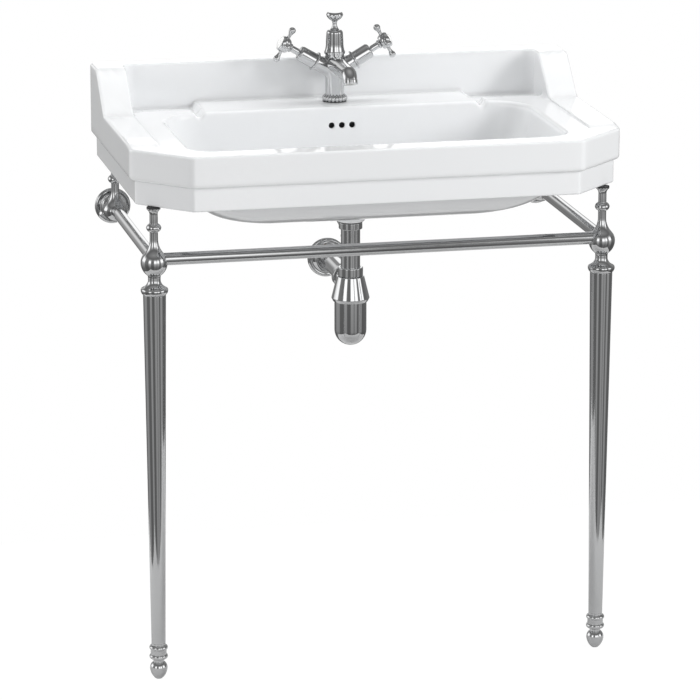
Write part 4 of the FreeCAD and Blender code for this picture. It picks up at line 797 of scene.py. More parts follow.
class BasinShape:
    """Plan loops and heights of the ceramic."""

    def __init__(self, sizes):
        self.s = sizes
        depth, inset = np.array(BOWL_DEPTH_SHARES), np.array(BOWL_INSET_SHARES)
        steps = np.linspace(0.0, len(depth) - 1.0, 49)
        self.bowl_depths = self.through(depth, steps)
        self.bowl_insets = self.through(inset, steps)
        self.cheek_y, self.cheek_z = self.cheek_table()

    @staticmethod
    def through(values, steps):
        """Smooth line through stations: cubic pieces with slopes of half the neighbours' difference."""
        index = np.minimum(steps.astype(int), len(values) - 2)
        mix = steps - index
        padded = np.concatenate(([2 * values[0] - values[1]], values, [2 * values[-1] - values[-2]]))
        before, low, high, after = (padded[index + shift] for shift in range(4))
        slope_low, slope_high = (high - before) / 2, (after - low) / 2
        return ((2 * mix ** 3 - 3 * mix ** 2 + 1) * low + (mix ** 3 - 2 * mix ** 2 + mix) * slope_low
                + (3 * mix ** 2 - 2 * mix ** 3) * high + (mix ** 3 - mix ** 2) * slope_high)

    def cheek_table(self):
        """Height of the top edge along the depth: kerb, slope and level run, with eased turns."""
        s = self.s
        y = np.linspace(-s.half_depth, s.half_depth, CHEEK_SAMPLES)
        top, kerb = s.deck + s.upstand_rise, s.deck + s.kerb
        high = s.half_depth - s.cheek_top
        low = high - s.cheek_slope
        front = s.cant - s.half_depth
        plain = np.interp(y, (front, front + KERB_RUN, low, high), (s.deck, kerb, kerb, top))
        kernel = np.hanning(2 * CHEEK_EASE + 1)
        wide = np.pad(plain, CHEEK_EASE, mode="edge")
        return y, np.convolve(wide, kernel / kernel.sum(), mode="valid")

    def outline(self, inset):
        """Outer plan line stepped in by an inset, but not at the wall."""
        s = self.s
        return plan_loop(s.half_width - inset, inset - s.half_depth, s.half_depth, BACK_CORNER,
                         cant=s.cant - inset * (2 - math.sqrt(2)),
                         rounding=max(s.cant_round - inset, LEAST_CANT_ROUND))

    def inner(self, inset):
        """Plan line at the foot of upstand and kerbs; on the front it lies on the rim."""
        s = self.s
        edge = s.bowl_front / 2
        return plan_loop(s.half_width - s.cheek - inset, edge - s.half_depth + inset,
                         s.half_depth - s.upstand - inset, max(s.cheek_corner - inset, LEAST_CORNER),
                         cant=s.cant * 0.5, rounding=s.cant_round)

    def bowl(self, inset_share, grow):
        """Bowl's plan line part of the way in to the floor, grown by a wall."""
        s = self.s

        def between(rim, floor):
            return rim + inset_share * (floor - rim)

        front = s.bowl_front - s.half_depth
        return plan_loop(
            between(s.bowl_half_width, s.floor_half_width) + grow,
            between(front, s.waste_y - s.floor_length / 2) - grow,
            between(front + s.bowl_length, s.waste_y + s.floor_length / 2) + grow,
            between(s.bowl_far_round, s.floor_round) + grow,
            near=between(s.bowl_near_round, s.floor_round) + grow)

    def top(self, plan):
        """Height of the top edge over a plan line: upstand, cheeks and kerbs, and the deck in front."""
        return np.interp(plan[:, 1], self.cheek_y, self.cheek_z)

    def deck(self, plan):
        """Height of the deck over a plan line: level, with the sunk trays and their notches."""
        s = self.s
        x, y = np.abs(plan[:, 0]), plan[:, 1]
        tray_front = s.half_depth - s.upstand - s.tray_length
        tray = smooth_step(x - s.ledge, TRAY_EASE) * smooth_step(y - tray_front, TRAY_EASE)
        notch = (smooth_step(x - s.ledge, NOTCH_EASE) * smooth_step(s.ledge + s.notch - x, NOTCH_EASE)
                 * smooth_step(y - s.waste_y, NOTCH_EASE) * s.notch_depth)
        return s.deck - np.maximum(tray * s.tray_depth, notch)

    def waste_circle(self, plan, radius):
        """Circle round the waste whose points face those of a plan line."""
        turn = np.arctan2(plan[:, 1] - self.s.waste_y, plan[:, 0])
        return np.column_stack((radius * np.cos(turn), self.s.waste_y + radius * np.sin(turn)))


def outer_rings(shape):
    """Bands from the bottom edge up over the step to the top edge, as plan lines with heights."""
    s, line = shape.s, shape.outline
    step = s.deck - s.upper_band
    bottom = step - s.lower_band
    soft, tuck = s.edge * BOTTOM_SHARE, s.edge * 0.4
    lip = (s.band_step - tuck) * 0.9
    rings = [(line(s.band_step + s.apron - soft), bottom), (line(s.band_step + soft * 1.4), bottom + HAIR)]
    rings += [(line(s.band_step + soft * left), bottom + 2 * HAIR + soft * gained)
              for left, gained in QUARTER]
    rings += [(line(s.band_step), height)
              for height in np.linspace(bottom + soft * 1.4, step - s.edge * 1.3, 5)]
    rings += [(line(s.band_step - tuck * gained), step - tuck * left) for left, gained in QUARTER]
    rings += [(line(lip * left), step + HAIR + lip * gained) for left, gained in QUARTER]
    plan = line(0.0)
    top = shape.top(plan)
    rings += [(plan, step + lip + (top - s.edge - step - lip) * mix)
              for mix in (0.1, 0.25, 0.5, 0.75, 0.93)]
    for left, gained in QUARTER:
        plan = line(s.edge * gained)
        rings.append((plan, shape.top(plan) - s.edge * left))
    return rings


def across_rings(start, end, mixes, height):
    """Plan lines from one to another, each at the height that a function gives."""
    plans = [start + (end - start) * mix for mix in mixes]
    return [(plan, height(plan)) for plan in plans]


def deck_rings(shape):
    """Top edge, down the inner walls to the deck, and across it to the bowl's rim."""
    s = shape.s
    rings = across_rings(shape.outline(s.edge * 1.4), shape.inner(-s.edge * 1.4),
                         (0.02, 0.5, 1.0), shape.top)
    wall = shape.inner(0.0)
    floor = shape.deck(wall)
    rise = shape.top(wall) - floor
    over, under = np.minimum(s.edge, rise * 0.45), np.minimum(s.edge * 1.5, rise * 0.45)
    for left, gained in QUARTER:
        plan = shape.inner(-s.edge * left)
        rings.append((plan, shape.top(plan) - over * gained))
    rings += [(wall, floor + under + (rise - over - under) * (1 - mix)) for mix in (0.15, 0.5, 0.85)]
    for left, gained in QUARTER:
        plan = shape.inner(s.edge * 1.5 * gained)
        rings.append((plan, shape.deck(plan) + under * left))
    return rings + across_rings(shape.inner(s.edge * 2), shape.bowl(0.0, s.bowl_rim * 1.3),
                                np.linspace(0.0, 1.0, 34), shape.deck)


def bowl_rings(shape):
    """Rounded rim, bowl wall and floor down to the seat of the waste."""
    s = shape.s
    rings = []
    for left, gained in QUARTER:
        plan = shape.bowl(0.0, s.bowl_rim * left)
        rings.append((plan, shape.deck(plan) - s.bowl_rim * gained))
    sunk = s.deck - shape.deck(shape.bowl(0.0, 0.0))
    for down, inset in zip(shape.bowl_depths[1:], shape.bowl_insets[1:]):
        depth = np.maximum(down * s.bowl_depth, sunk + s.bowl_rim + down * RIM_FALL)
        rings.append((shape.bowl(inset, 0.0), s.deck - depth))
    floor = shape.bowl(1.0, 0.0)
    seat = shape.waste_circle(floor, s.waste_seat)
    level = s.deck - s.bowl_depth
    rings += [(floor + (seat - floor) * mix, level - SEAT_DIP * mix) for mix in (0.35, 0.7, 1.0)]
    return rings + [(seat, level - SEAT_DEPTH)]


def under_rings(shape):
    """Boss, outside of the bowl, underside of the deck and inside of the bands, down to the bottom edge."""
    s = shape.s
    level = s.deck - s.bowl_depth
    floor = shape.bowl(1.0, s.bowl_wall)

    def circle(radius):
        return shape.waste_circle(floor, radius)

    hole, seat, foot = circle(s.waste_hole), level - SEAT_DEPTH - HAIR, level - s.boss_drop
    rings = [(circle(s.waste_seat), seat), (hole, seat), (hole, foot + BOSS_LIP), (hole, foot)]
    rings += [(circle(s.boss - s.edge * left), foot + s.edge * gained) for left, gained in QUARTER]
    bottom = level - s.bowl_wall
    rings += [(circle(s.boss_top * 0.97), bottom - BOSS_FLARE), (circle(s.boss_top + BOSS_FLARE), bottom)]
    top, deep = s.deck - s.bowl_land, s.bowl_depth + s.bowl_wall - s.bowl_land
    ceiling = s.deck - s.deck_thickness
    for down, inset in zip(shape.bowl_depths[::-2], shape.bowl_insets[::-2]):
        height = top - down * deep
        if height < ceiling - CEILING_GAP:
            rings.append((shape.bowl(inset, s.bowl_wall), height))
    rim, cavity = shape.bowl(RIM_SHARE, s.bowl_wall + RIM_GROW), cavity_loop(s)
    rings += [(rim + (cavity - rim) * mix, ceiling) for mix in (0.1, 0.9)]
    base = s.deck - s.upper_band - s.lower_band
    rings += [(cavity, ceiling - CEILING_EASE), (cavity, base + BASE_EASE), (cavity, base)]
    return rings + [(shape.outline(s.band_step + s.apron - s.edge * BOTTOM_SHARE), base)]


def cavity_loop(s):
    """Plan line of the hollow underside, with solid blocks left in its corners for the posts."""
    right, rear_right, rear, rear_left, left, front_left, face, front_right = LOOP_COUNTS
    side, back = s.half_width - s.band_step - s.apron, s.half_depth - s.apron
    front = s.band_step + s.apron - s.half_depth
    near_x, near_y = s.half_width - FRONT_BLOCK[0], FRONT_BLOCK[1] - s.half_depth
    far_x, far_y = s.half_width - REAR_BLOCK[0], s.half_depth - REAR_BLOCK[1]
    rear_block = [(side, far_y), (far_x, far_y), (far_x, back)]
    front_block = [(near_x, front), (near_x, near_y), (side, near_y)]

    def other(points):
        return [(-x, y) for x, y in reversed(points)]

    return np.vstack((
        straight((side, near_y), (side, far_y), right),
        bend(rear_block, rear_right),
        straight((far_x, back), (-far_x, back), rear),
        bend(other(rear_block), rear_left),
        straight((-side, far_y), (-side, near_y), left),
        bend(other(front_block), front_left),
        straight((-near_x, front), (near_x, front), face),
        bend(front_block, front_right),
    ))


def stacked(rings):
    """Surface through closed plan lines of equal count, each lifted to its height."""
    lines = [np.column_stack((plan, np.broadcast_to(height, len(plan)))) for plan, height in rings]
    return np.vstack(lines), grid_faces(len(lines), len(lines[0]))


def rounded_block(low, high):
    """Closed block: round-cornered plan lines stacked with eased top and bottom edges."""
    low, high, soft = np.array(low), np.array(high), BLOCK_EASE
    centre, half = (low + high) / 2, (high - low) / 2
    turn = 2 * math.pi * np.arange(BLOCK_SIDES) / BLOCK_SIDES
    sign = np.sign(np.stack((np.cos(turn + 1e-9), np.sin(turn + 1e-9)), axis=1))
    corner = np.stack((np.cos(turn), np.sin(turn)), axis=1)
    levels = [(1.0, low[2], 0.0)]
    levels += [(left, low[2] + soft * gained, 1.0) for left, gained in QUARTER]
    levels += [(gained, high[2] - soft * left, 1.0) for left, gained in QUARTER]
    levels += [(1.0, high[2], 0.0)]
    return stacked([(centre[:2] + spread * (sign * (half[:2] - soft) + corner * soft * (1 - inset)), height)
                    for inset, height, spread in levels])


def pierced(surface, holes, wall, radius, depth):
    """Round holes in the bowl's back wall.

    Faces inside a circle go, the points around the gap move to the circle in the wall's own plane, and
    rings of radius r(v) set back by d(v) lead to a closed end. Also marks the deep faces for a dark painted
    shade.
    """
    points, faces = surface
    dark = np.zeros(len(faces), bool)
    for x, z in holes:
        middle = points[faces].mean(axis=1)
        inside = np.hypot(middle[:, 0] - x, middle[:, 2] - z) < radius * HOLE_REACH
        inside &= np.abs(middle[:, 1] - wall + depth / 2) < depth * 0.75
        total = np.bincount(faces.ravel(), minlength=len(points))
        hit = np.bincount(faces[inside].ravel(), minlength=len(points))
        rim = np.flatnonzero((hit > 0) & (hit < total))
        rim = rim[np.argsort(np.arctan2(points[rim, 2] - z, points[rim, 0] - x))]
        turn = np.arctan2(points[rim, 2] - z, points[rim, 0] - x)
        flat = np.column_stack((points[rim, 0], points[rim, 2], np.ones(len(rim))))
        plane = np.linalg.lstsq(flat, points[rim, 1], rcond=None)[0]
        rings = []
        for reach, back in HOLE_RINGS:
            ring_x, ring_z = x + reach * radius * np.cos(turn), z + reach * radius * np.sin(turn)
            ring_y = ring_x * plane[0] + ring_z * plane[1] + plane[2] + back * depth
            rings.append(np.column_stack((ring_x, ring_y, ring_z)))
        points = points.copy()
        points[rim] = rings[0]
        spots = np.concatenate((rim, len(points) + np.arange(len(rim) * (len(rings) - 1))))
        sleeve = spots[grid_faces(len(rings), len(rim))]
        points = np.vstack([points] + rings[1:])
        # Sleeve faces past the glazed rows are marked for the dark painted shade
        dark = np.concatenate((dark[~inside], np.arange(len(sleeve)) >= HOLE_LIT_ROWS * len(rim)))
        faces = np.vstack((faces[~inside], sleeve))
    kept, order = np.unique(faces, return_inverse=True)
    return points[kept], order.reshape(faces.shape), dark


class WASHBASIN_OT_basin(Operator):
    """Make the ceramic basin, its overflow, duct and wall bolts' holes"""

    bl_idname = "washbasin.basin"
    bl_label = "Basin"

    def execute(self, context):
        s = context.scene.washbasin_basin
        shape = BasinShape(s)
        rings = outer_rings(shape) + deck_rings(shape) + bowl_rings(shape) + under_rings(shape)
        back = s.bowl_front - s.half_depth + s.bowl_length
        holes = [(step * s.overflow_pitch, s.deck - s.overflow_drop) for step in (-1, 0, 1)]
        # dark marks the faces deep in the overflow holes that get the painted shade
        *surface, dark = pierced(stacked(rings), holes, back, s.overflow, s.bowl_wall)
        skin = add_piece("basin_skin", surface, "white_glaze", nodes=("basin",), second=dark)
        # Second finish: dark painted shade deep in the overflow holes
        skin.data.materials.append(bpy.data.materials["overflow_dark"])
        bolt = drum(s.bolt, 0.0, 2 * s.apron)
        start, level = s.half_depth - 1.5 * s.apron, s.deck - s.bolt_drop
        bored(skin, joined([turned(bolt, (sign * s.bolt_span / 2, start, level), ALONG_Y, soft=0.0)
                            for sign in (-1, 1)]))
        floor, rear = s.deck - s.bowl_depth, back + s.duct_depth
        duct = rounded_block((-s.duct_half_width, back + s.bowl_wall, floor - s.bowl_wall),
                             (s.duct_half_width, rear, s.deck - s.bowl_land))
        sump = rounded_block((-SUMP_HALF_WIDTH, s.waste_y, floor - SUMP_FOOT),
                             (SUMP_HALF_WIDTH, rear, floor - SUMP_TOP))
        add_piece("overflow_duct", joined((duct, sump)), "white_glaze")
        dress("black_rubber", "post_pads", "waste_seals")
        return {"FINISHED"}


# Washstand

def casting_outline(s, rear):
    """Casting from its foot to its flared top, about the ball's centre."""
    if rear:
        lower = [(0.0, -s.ball), (s.ball, 0.0, QUARTER_ARC)]
    else:
        lower = [(0.0, -s.neck_drop), (s.neck, -s.neck_drop), (s.neck * 1.05, -s.neck_drop * 0.88),
                 (s.ball, 0.0, 0.3)]
    rise = s.post_rise
    return lower + [
        (s.ball * 0.76, rise * 0.115, 0.12),
        (s.post, rise * 0.40, -0.2),
        (s.post, s.ring_rise - s.ring_height / 2),
        (s.ring, s.ring_rise, 0.28),
        (s.post, s.ring_rise + s.ring_height / 2, 0.28),
        (s.post, rise * 0.86),
        (s.post_foot, rise * 0.98, -0.3),
        (s.post_foot, rise),
        (0.0, rise),
    ]


class WASHBASIN_OT_stand(Operator):
    """Make the legs, collars, feet, castings and rails of the stand, and dress its wall flanges"""

    bl_idname = "washbasin.stand"
    bl_label = "Washstand"

    def execute(self, context):
        s = context.scene.washbasin_stand
        collar_z = s.rail_z - s.neck_drop - s.collar_height
        for side, x in (("left", -s.leg_x), ("right", s.leg_x)):
            self.make_leg(s, side, x, collar_z)
            for name, y, rear in (("front", -s.leg_y, False), ("rear", s.rear_y, True)):
                node = "%s_%s_casting" % (side, name)
                plate(node, turned(casting_outline(s, rear), (x, y, s.rail_z), soft=0.0008))
            low, high = s.rail_seat - s.leg_y, s.rear_y - s.rail_seat
            plate(side + "_side_rail", turned(drum(s.rail, 0.0, high - low), (x, low, s.rail_z), ALONG_Y))
            dress(PLATE, side + "_wall_flange")
        span = 2 * (s.leg_x - s.rail_seat)
        plate("front_rail", turned(drum(s.rail, 0.0, span), (-span / 2, -s.leg_y, s.rail_z), ALONG_X))
        dress("plain_steel", "rail_grub_screws")
        return {"FINISHED"}

    def make_leg(self, s, side, x, collar_z):
        """One foot, tapered tube and bell collar."""
        place = (x, -s.leg_y, 0.0)
        plate(side + "_foot", turned(scaled(FOOT_SHARES, s.foot, s.foot_height), place))
        tube = [(0.0, s.foot_height), (s.leg_bottom, s.foot_height), (s.leg_top, collar_z), (0.0, collar_z)]
        plate(side + "_leg_tube", turned(tube, place, soft=0.0004), side + "_leg")
        collar = scaled(COLLAR_SHARES, s.collar, s.collar_height)
        plate(side + "_leg_collar", turned(collar, (x, -s.leg_y, collar_z)), side + "_collar")


# Mixer tap

def arm_axis(s, sign):
    """Direction of an arm, outwards and up."""
    return np.array((sign * math.cos(s.arm_angle), 0.0, math.sin(s.arm_angle)))


class WASHBASIN_OT_tap(Operator):
    """Make the tap's body, base ring and spout, and dress its inner pieces"""

    bl_idname = "washbasin.tap"
    bl_label = "Tap"

    def execute(self, context):
        s = context.scene.washbasin_tap
        foot = (0.0, s.tap_y, s.foot_z)
        hub = (0.0, s.tap_y, s.arm_z)
        parts = [self.body(s)]
        for sign in (-1, 1):
            wide, low = s.arm_collar, s.arm_length - s.collar_width
            collar = [(0.0, low), (wide * 0.94, low), (wide, low + s.collar_width / 2, 0.3),
                      (wide * 0.94, s.arm_length, 0.3), (0.0, s.arm_length)]
            parts.append(turned(collar, hub, arm_axis(s, sign), soft=0.0003))
        plate("tap_body", joined(parts))
        ring = [(s.column, 0.0), (s.base * 0.93, 0.0), (s.base, s.base_height * 0.35, 0.2),
                (s.base * 0.93, s.base_height * 0.68, 0.2), (s.column * 1.003, s.base_height, -0.2)]
        plate("tap_base_ring", turned(ring, foot, sides=216, lobes=s.lobes, lobe_depth=0.11), "tap_base")
        self.make_spout(s)
        dress("black_rubber", "tap_gasket")
        dress("bare_brass", "tap_shank", "shank_nut", "hot_valve", "cold_valve")
        dress(PLATE, "hot_spindle", "cold_spindle")
        dress("plain_steel", "shank_washer")
        dress("white_nylon", "aerator", "rod_bush")
        return {"FINISHED"}

    def body(self, s):
        """Column and arms as one smooth form about the point where their axes meet.

        P(u, v) = hub + r(d) d, with d a direction on a sphere and r the smooth greatest of the distances
        to the column's and arms' walls, (sum of r_i^p)^(1/p).
        """
        rise, turn = np.meshgrid(np.linspace(0.0, math.pi, BODY_ROWS),
                                 2 * math.pi * np.arange(BODY_SIDES) / BODY_SIDES, indexing="ij")
        d = np.stack((np.sin(rise) * np.cos(turn), np.sin(rise) * np.sin(turn), np.cos(rise)), axis=2)
        below, above = s.arm_z - s.foot_z, s.foot_z + s.body_rise - s.arm_z
        end = np.where(d[:, :, 2] < 0, below, above) / np.maximum(np.abs(d[:, :, 2]), SMALL)
        reach = np.minimum(s.column * 0.985 / np.maximum(np.sin(rise), SMALL), end)
        total = reach ** BODY_BLEND
        for sign in (-1, 1):
            axis = arm_axis(s, sign)
            along = d @ axis
            off = np.sqrt(np.maximum(1 - along ** 2, TINY))
            length_out = (s.arm_length - s.collar_width / 2) / np.maximum(along, SMALL)
            total += np.where(along > 0, np.minimum(s.arm / off, length_out), 0.0) ** BODY_BLEND
        reach = np.minimum(total ** (1 / BODY_BLEND), end)
        points = np.array((0.0, s.tap_y, s.arm_z)) + reach[:, :, None] * d
        return points.reshape(-1, 3), grid_faces(BODY_ROWS, BODY_SIDES)

    def make_spout(self, s):
        """Level run, bend and tail, with a nozzle ring at the tip."""
        knee = s.tap_y - s.spout_reach + s.spout_bend * math.sin(s.spout_turn)
        level = np.linspace(s.tap_y - s.column * 0.5, knee, RUN_COUNT + 1)[:-1]
        run = np.column_stack((np.zeros(RUN_COUNT), level, np.full(RUN_COUNT, s.spout_z)))
        turn = np.linspace(0.0, s.spout_turn, BEND_COUNT)
        round_bend = np.column_stack((np.zeros(BEND_COUNT), knee - s.spout_bend * np.sin(turn),
                                      s.spout_z - s.spout_bend * (1 - np.cos(turn))))
        down = np.array((0.0, -math.cos(s.spout_turn), -math.sin(s.spout_turn)))
        tail = round_bend[-1] + down * s.spout_tail * np.linspace(0.25, 1.0, TAIL_COUNT)[:, None]
        path = np.vstack((run, round_bend, tail))
        mid = (s.spout_root + s.spout_tip) / 2
        radii = np.concatenate((np.linspace(s.spout_root, mid, RUN_COUNT),
                                np.linspace(mid, s.spout_tip, BEND_COUNT), np.full(TAIL_COUNT, s.spout_tip)))
        ring = [(s.nozzle, 0.0)] + [(s.spout_tip * share, height) for share, height in NOZZLE_RING]
        ring.append((s.nozzle, NOZZLE_RING[-1][1]))
        nozzle = turned(ring, path[-1], -down, soft=0.0004, closed=True)
        plate("spout", joined((carried(path, radii), nozzle)))


class WASHBASIN_OT_valves(Operator):
    """Make the bonnets, cross handles and index buttons"""

    bl_idname = "washbasin.valves"
    bl_label = "Valves"

    def execute(self, context):
        s = context.scene.washbasin_tap
        hub = np.array((0.0, s.tap_y, s.arm_z))
        for side, sign in (("hot", -1), ("cold", 1)):
            axis = arm_axis(s, sign)
            end = s.arm_length + s.bonnet_length
            bonnet = [(0.0, s.arm_length), (s.bonnet, s.arm_length), (s.bonnet, end - s.bonnet_round),
                      (s.bonnet - s.bonnet_round, end, QUARTER_ARC), (0.0, end)]
            plate(side + "_bonnet", turned(bonnet, hub, axis))
            plate(side + "_handle", self.handle(s, hub, axis, end), body=side + "_handle")
            face = s.handle_reach + s.hub_length / 2
            dome = [(0.0, face - INDEX_SEAT), (s.index, face - INDEX_SEAT), (s.index, face),
                    (s.index * 0.9, face + INDEX_SEAT, 0.2), (0.0, face + s.index_rise, 0.16)]
            # Index button in the grey glaze that paints in its shade
            add_piece(side + "_index_skin", turned(dome, hub, axis), "porcelain", body=side + "_handle",
                      nodes=(side + "_index",))
        return {"FINISHED"}

    def handle(self, s, hub, axis, bonnet_end):
        """Stem with its knuckle, hub drum and four spokes that swell to a ball."""
        stem, low = bonnet_end + STEM_GAP, s.handle_reach - s.hub_length / 2
        high = s.handle_reach + s.hub_length / 2
        stalk = [(0.0, stem), (s.stem, stem), (s.stem, low - s.stem), (s.knuckle, low - s.stem / 2, 0.3),
                 (s.stem, low, 0.3), (s.hub * 0.75, low), (s.hub, s.handle_reach, 0.25),
                 (s.hub_end, high, 0.2), (s.index * 0.9, high), (0.0, high)]
        parts = [turned(stalk, hub, axis)]
        across, beside, along = frame_of(axis)
        centre = hub + along * s.handle_reach
        inner, reach, ball = s.hub * 0.6, s.spoke_reach, s.spoke_ball
        spoke = [(0.0, inner), (s.spoke * 1.5, inner), (s.spoke * 1.5, s.hub * 0.95),
                 (s.spoke * 1.08, s.hub * 1.15, -0.2), (ball * 0.94, reach - ball * 0.34, -0.14),
                 (ball, reach, 0.09), (ball * 0.5, reach + ball * 0.866, 0.28), (0.0, reach + ball, 0.1)]
        for direction in (across, -across, beside, -beside):
            parts.append(turned(spoke, centre, direction, soft=0.0004, sides=40))
        return joined(parts)


class WASHBASIN_OT_lift(Operator):
    """Make the bell cover and the lift knob, and dress the pop-up linkage"""

    bl_idname = "washbasin.lift"
    bl_label = "Lift"

    def execute(self, context):
        s = context.scene.washbasin_tap
        top = s.foot_z + s.body_rise
        bell = turned(scaled(BELL_SHARES, s.bell, s.bell_height), (0.0, s.tap_y, top))
        plate("top_bonnet", bell, "bell")
        place = (0.0, s.tap_y, top + s.bell_height + s.knob_gap)
        plate("lift_knob", turned(scaled(KNOB_SHARES, s.knob, s.knob_height), place), body="lift_rod")
        dress(PLATE, "lift_rod", "lift_strap", "strap_clamp", "pivot_rod", "pivot_nut")
        dress("plain_steel", "strap_screw")
        return {"FINISHED"}


# Waste and trap

class WASHBASIN_OT_waste(Operator):
    """Make the back nut and tail of the waste, and dress its body and plug"""

    bl_idname = "washbasin.waste"
    bl_label = "Waste"

    def execute(self, context):
        s = context.scene.washbasin_waste
        basin = context.scene.washbasin_basin
        nut_lo, nut_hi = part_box("waste_back_nut")
        place = (0.0, basin.waste_y, 0.0)
        plate("waste_back_nut", turned(drum(s.nut, nut_lo.z, nut_hi.z), place, soft=0.0012), "waste_nut")
        tail_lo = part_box("tail_pipe")[0]
        tail = drum(s.tail, tail_lo.z, nut_lo.z, s.tail - s.tail_wall)
        plate("tail_pipe", turned(tail, place, closed=True), "tail")
        dress(PLATE, "waste_body", "waste_plug")
        dress("black_rubber", "plug_seal")
        return {"FINISHED"}


class WASHBASIN_OT_trap(Operator):
    """Make the bottle trap, its outlet and the wall rose"""

    bl_idname = "washbasin.trap"
    bl_label = "Trap"

    def execute(self, context):
        s = context.scene.washbasin_waste
        basin = context.scene.washbasin_basin
        place = (0.0, basin.waste_y, 0.0)
        neck = s.trap_top - s.inlet_height
        foot = neck - s.cone_height
        nut = drum(s.inlet_nut, neck, s.trap_top, s.tail)
        plate("trap_inlet_nut", turned(nut, place, soft=0.0015, closed=True), "inlet_nut")
        lip = foot - s.cone_lip
        cone = [(s.tail, neck), (s.cup, lip), (s.cone_foot - s.cone_lip / 2, lip), (s.cone_foot, foot),
                (s.cone_top, neck)]
        boss_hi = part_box("trap_body")[1]
        boss = drum(s.outlet_boss, 0.0, boss_hi.y - basin.waste_y - OUTLET_INSET)
        outlet = (0.0, basin.waste_y + OUTLET_INSET, s.outlet_z)
        cone = turned(cone, place, soft=0.001, closed=True)
        plate("trap_body", joined((cone, turned(boss, outlet, ALONG_Y))))
        cup = [(0.0, s.cup_end), (s.cup, s.cup_end + s.cup, QUARTER_ARC), (s.cup, foot), (0.0, foot)]
        plate("trap_cup", turned(cup, place))
        self.make_outlet(s, basin)
        dress("black_rubber", "trap_inlet_seal", "cup_seal")
        return {"FINISHED"}

    def make_outlet(self, s, basin):
        """Nut, pipe and rose of the outlet."""
        nut_lo, nut_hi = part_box("outlet_nut")
        pipe_lo, pipe_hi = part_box("outlet_pipe")
        nut = drum(s.outlet_nut, nut_lo.y, nut_hi.y, s.tail)
        origin = (0.0, 0.0, s.outlet_z)
        plate("outlet_nut", turned(nut, origin, ALONG_Y, soft=0.0015, closed=True))
        pipe = drum(s.tail, pipe_lo.y, pipe_hi.y, s.tail - s.tail_wall)
        plate("outlet_pipe", turned(pipe, origin, ALONG_Y, soft=0.0003, closed=True))
        wide, rim, high = s.rose, s.rose_rim, s.rose_height
        rose = [(s.tail, 0.0), (wide, 0.0), (wide * 0.90, rim, 0.45), (wide * 0.76, rim * 0.85, -0.2),
                (wide * 0.58, high, -0.15), (s.tail, high)]
        plate("waste_rose", turned(rose, (0.0, basin.half_depth, s.outlet_z), TO_FRONT, closed=True))


# Stage

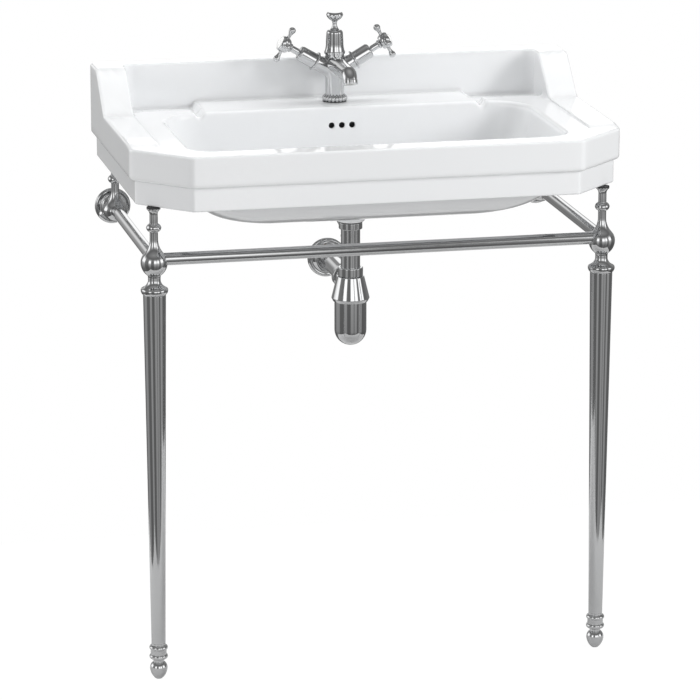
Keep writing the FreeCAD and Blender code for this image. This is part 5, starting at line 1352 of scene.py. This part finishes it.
class WASHBASIN_OT_stage(Operator):
    """Make the floor, lamps, surroundings and camera"""

    bl_idname = "washbasin.stage"
    bl_label = "Stage"

    def execute(self, context):
        s = context.scene.washbasin_stage
        self.make_floor(s)
        self.make_world(context.scene, s)
        for name, place, aim, size, setting, share in LAMPS:
            self.make_lamp(name, Vector(place), Vector(aim), size, getattr(s, setting) * share)
        self.make_camera(context.scene, s)
        context.scene.view_settings.view_transform = "Standard"
        return {"FINISHED"}

    def seen(self, recipe, share):
        """One for camera rays, and a share for rays that metal and glass send on."""
        path = recipe.tree.nodes.new("ShaderNodeLightPath")
        camera, glossy, passing = [Value(recipe, path.outputs[name]) for name in
                                   ("Is Camera Ray", "Is Glossy Ray", "Is Transmission Ray")]
        mask = camera + share * (glossy + passing)
        return recipe.node("ShaderNodeMath", {"operation": "MINIMUM"}, {0: mask, 1: 1.0})

    def make_floor(self, s):
        """Wide pale floor that keeps a soft shadow."""
        x, y = np.meshgrid(np.linspace(*FLOOR_X, FLOOR_POINTS), np.linspace(*FLOOR_Y, FLOOR_POINTS))
        points = np.stack((x, y, np.full_like(x, FLOOR_Z)), axis=2).reshape(-1, 3)
        mesh = bpy.data.meshes.new("floor")
        faces = grid_faces(FLOOR_POINTS, FLOOR_POINTS, wrap_columns=False)
        mesh.from_pydata(points.tolist(), [], faces.tolist())
        floor = add_object("floor", mesh)
        recipe = new_finish("pale_floor")
        shade = recipe.node("ShaderNodeBsdfDiffuse", {}, {"Color": rgba(s.floor)})
        white = recipe.node("ShaderNodeEmission", {}, {"Color": WHITE, "Strength": FLOOR_GLOW})
        amount = self.seen(recipe, FLOOR_MIRRORED) * FLOOR_WHITE
        blend = recipe.node("ShaderNodeMixShader", {}, {0: amount, 1: shade, 2: white})
        recipe.node("ShaderNodeOutputMaterial", {}, {"Surface": blend})
        mesh.materials.append(bpy.data.materials["pale_floor"])

    def make_world(self, scene, s):
        """Studio of light panels and dark gaps, with a white backdrop that metal shows too."""
        world = bpy.data.worlds.new("studio")
        scene.world = world
        world.use_nodes = True
        recipe = Recipe(world.node_tree)
        place = recipe.node("ShaderNodeTexCoord", output=0)

        def along(direction):
            return recipe.node("ShaderNodeVectorMath", {"operation": "DOT_PRODUCT"},
                               {0: place, 1: direction}, output=1)

        def stops(table, spot):
            return recipe.node("ShaderNodeValToRGB", {"stops": table}, {0: spot})

        zone = recipe.node("ShaderNodeMapRange", {"interpolation_type": "SMOOTHSTEP"},
                           {0: along(self.forward(s)), 1: BACKDROP_FROM, 2: BACKDROP_FULL, 3: 0.0, 4: 1.0})
        beside = along(Vector((math.cos(s.yaw), -math.sin(s.yaw), 0.0)))
        before = along(Vector((-math.sin(s.yaw), -math.cos(s.yaw), 0.0)))
        height = along(Vector(UP)) * 0.5 + 0.5
        bearing = beside.math("ARCTAN2", beside, before) / (2 * math.pi) + 0.5
        panels = stops([(0.5 + turn / 360.0, light) for turn, light in PANEL_STOPS], bearing)
        cover = stops([(0.5 + rise / 2.0, light) for rise, light in PANEL_COVER], height)
        base = stops([(0.5 + rise / 2.0, light) for rise, light in STUDIO_STOPS], height)
        light = (base + cover * panels * PANEL_GAIN) * s.world
        tint = recipe.mix(self.seen(recipe, zone), light, WHITE)
        ground = recipe.node("ShaderNodeBackground", {}, {"Color": tint, "Strength": 1.0})
        recipe.node("ShaderNodeOutputWorld", {}, {"Surface": ground})

    def make_lamp(self, name, place, target, size, power):
        """Rectangular soft lamp, itself out of sight."""
        data = bpy.data.lights.new(name, "AREA")
        data.shape = "RECTANGLE"
        data.size, data.size_y = size
        data.energy = power
        lamp = add_object(name, data)
        lamp.location = place
        lamp.rotation_euler = (target - place).to_track_quat("-Z", "Y").to_euler()
        lamp.visible_camera = False
        lamp.visible_glossy = False

    def forward(self, s):
        """Direction in which the camera looks."""
        return Vector((math.sin(s.yaw) * math.cos(s.pitch), math.cos(s.yaw) * math.cos(s.pitch),
                       -math.sin(s.pitch)))

    def make_camera(self, scene, s):
        """Camera at the photograph's angle."""
        forward = self.forward(s)
        right = forward.cross(Vector(UP)).normalized()
        up = right.cross(forward)
        right, up = (right * math.cos(s.roll) + up * math.sin(s.roll),
                     up * math.cos(s.roll) - right * math.sin(s.roll))
        data = bpy.data.cameras.new("camera")
        data.sensor_width = SENSOR
        data.lens = s.focal * SENSOR
        camera = add_object("camera", data)
        spot = Vector((0.0, 0.0, s.aim_height)) - forward * s.distance + right * s.slide + up * s.lift
        turn = Matrix((right, up, -forward)).transposed()
        camera.matrix_world = Matrix.Translation(spot) @ turn.to_4x4()
        scene.camera = camera


class WASHBASIN_PT_panel(Panel):
    """Steps of the washbasin, in order"""

    bl_idname = "WASHBASIN_PT_panel"
    bl_label = "Washbasin"
    bl_space_type = "VIEW_3D"
    bl_region_type = "UI"
    bl_category = "Washbasin"

    def draw(self, context):
        for step in STEPS:
            self.layout.operator(step.bl_idname)
        for group in GROUPS:
            for name in GROUPS[group].__annotations__:
                self.layout.prop(getattr(context.scene, group), name)


GROUPS = {
    "washbasin_basin": BasinSizes,
    "washbasin_stand": StandSizes,
    "washbasin_tap": TapSizes,
    "washbasin_waste": WasteSizes,
    "washbasin_finishes": Finishes,
    "washbasin_stage": StageSettings,
}
STEPS = (WASHBASIN_OT_finishes, WASHBASIN_OT_basin, WASHBASIN_OT_stand, WASHBASIN_OT_tap,
         WASHBASIN_OT_valves, WASHBASIN_OT_lift, WASHBASIN_OT_waste, WASHBASIN_OT_trap, WASHBASIN_OT_stage)


def register():
    """Register the property groups, operators and panel."""
    for item in (*GROUPS.values(), *STEPS, WASHBASIN_PT_panel):
        bpy.utils.register_class(item)
    for name, group in GROUPS.items():
        setattr(bpy.types.Scene, name, PointerProperty(type=group))


def unregister():
    """Take them away again."""
    for name in GROUPS:
        delattr(bpy.types.Scene, name)
    for item in (WASHBASIN_PT_panel, *reversed(STEPS), *GROUPS.values()):
        bpy.utils.unregister_class(item)


def main():
    """Make every piece in order."""
    register()
    bpy.ops.washbasin.finishes()
    bpy.ops.washbasin.basin()
    bpy.ops.washbasin.stand()
    bpy.ops.washbasin.tap()
    bpy.ops.washbasin.valves()
    bpy.ops.washbasin.lift()
    bpy.ops.washbasin.waste()
    bpy.ops.washbasin.trap()
    bpy.ops.washbasin.stage()


if __name__ == "__main__":
    main()
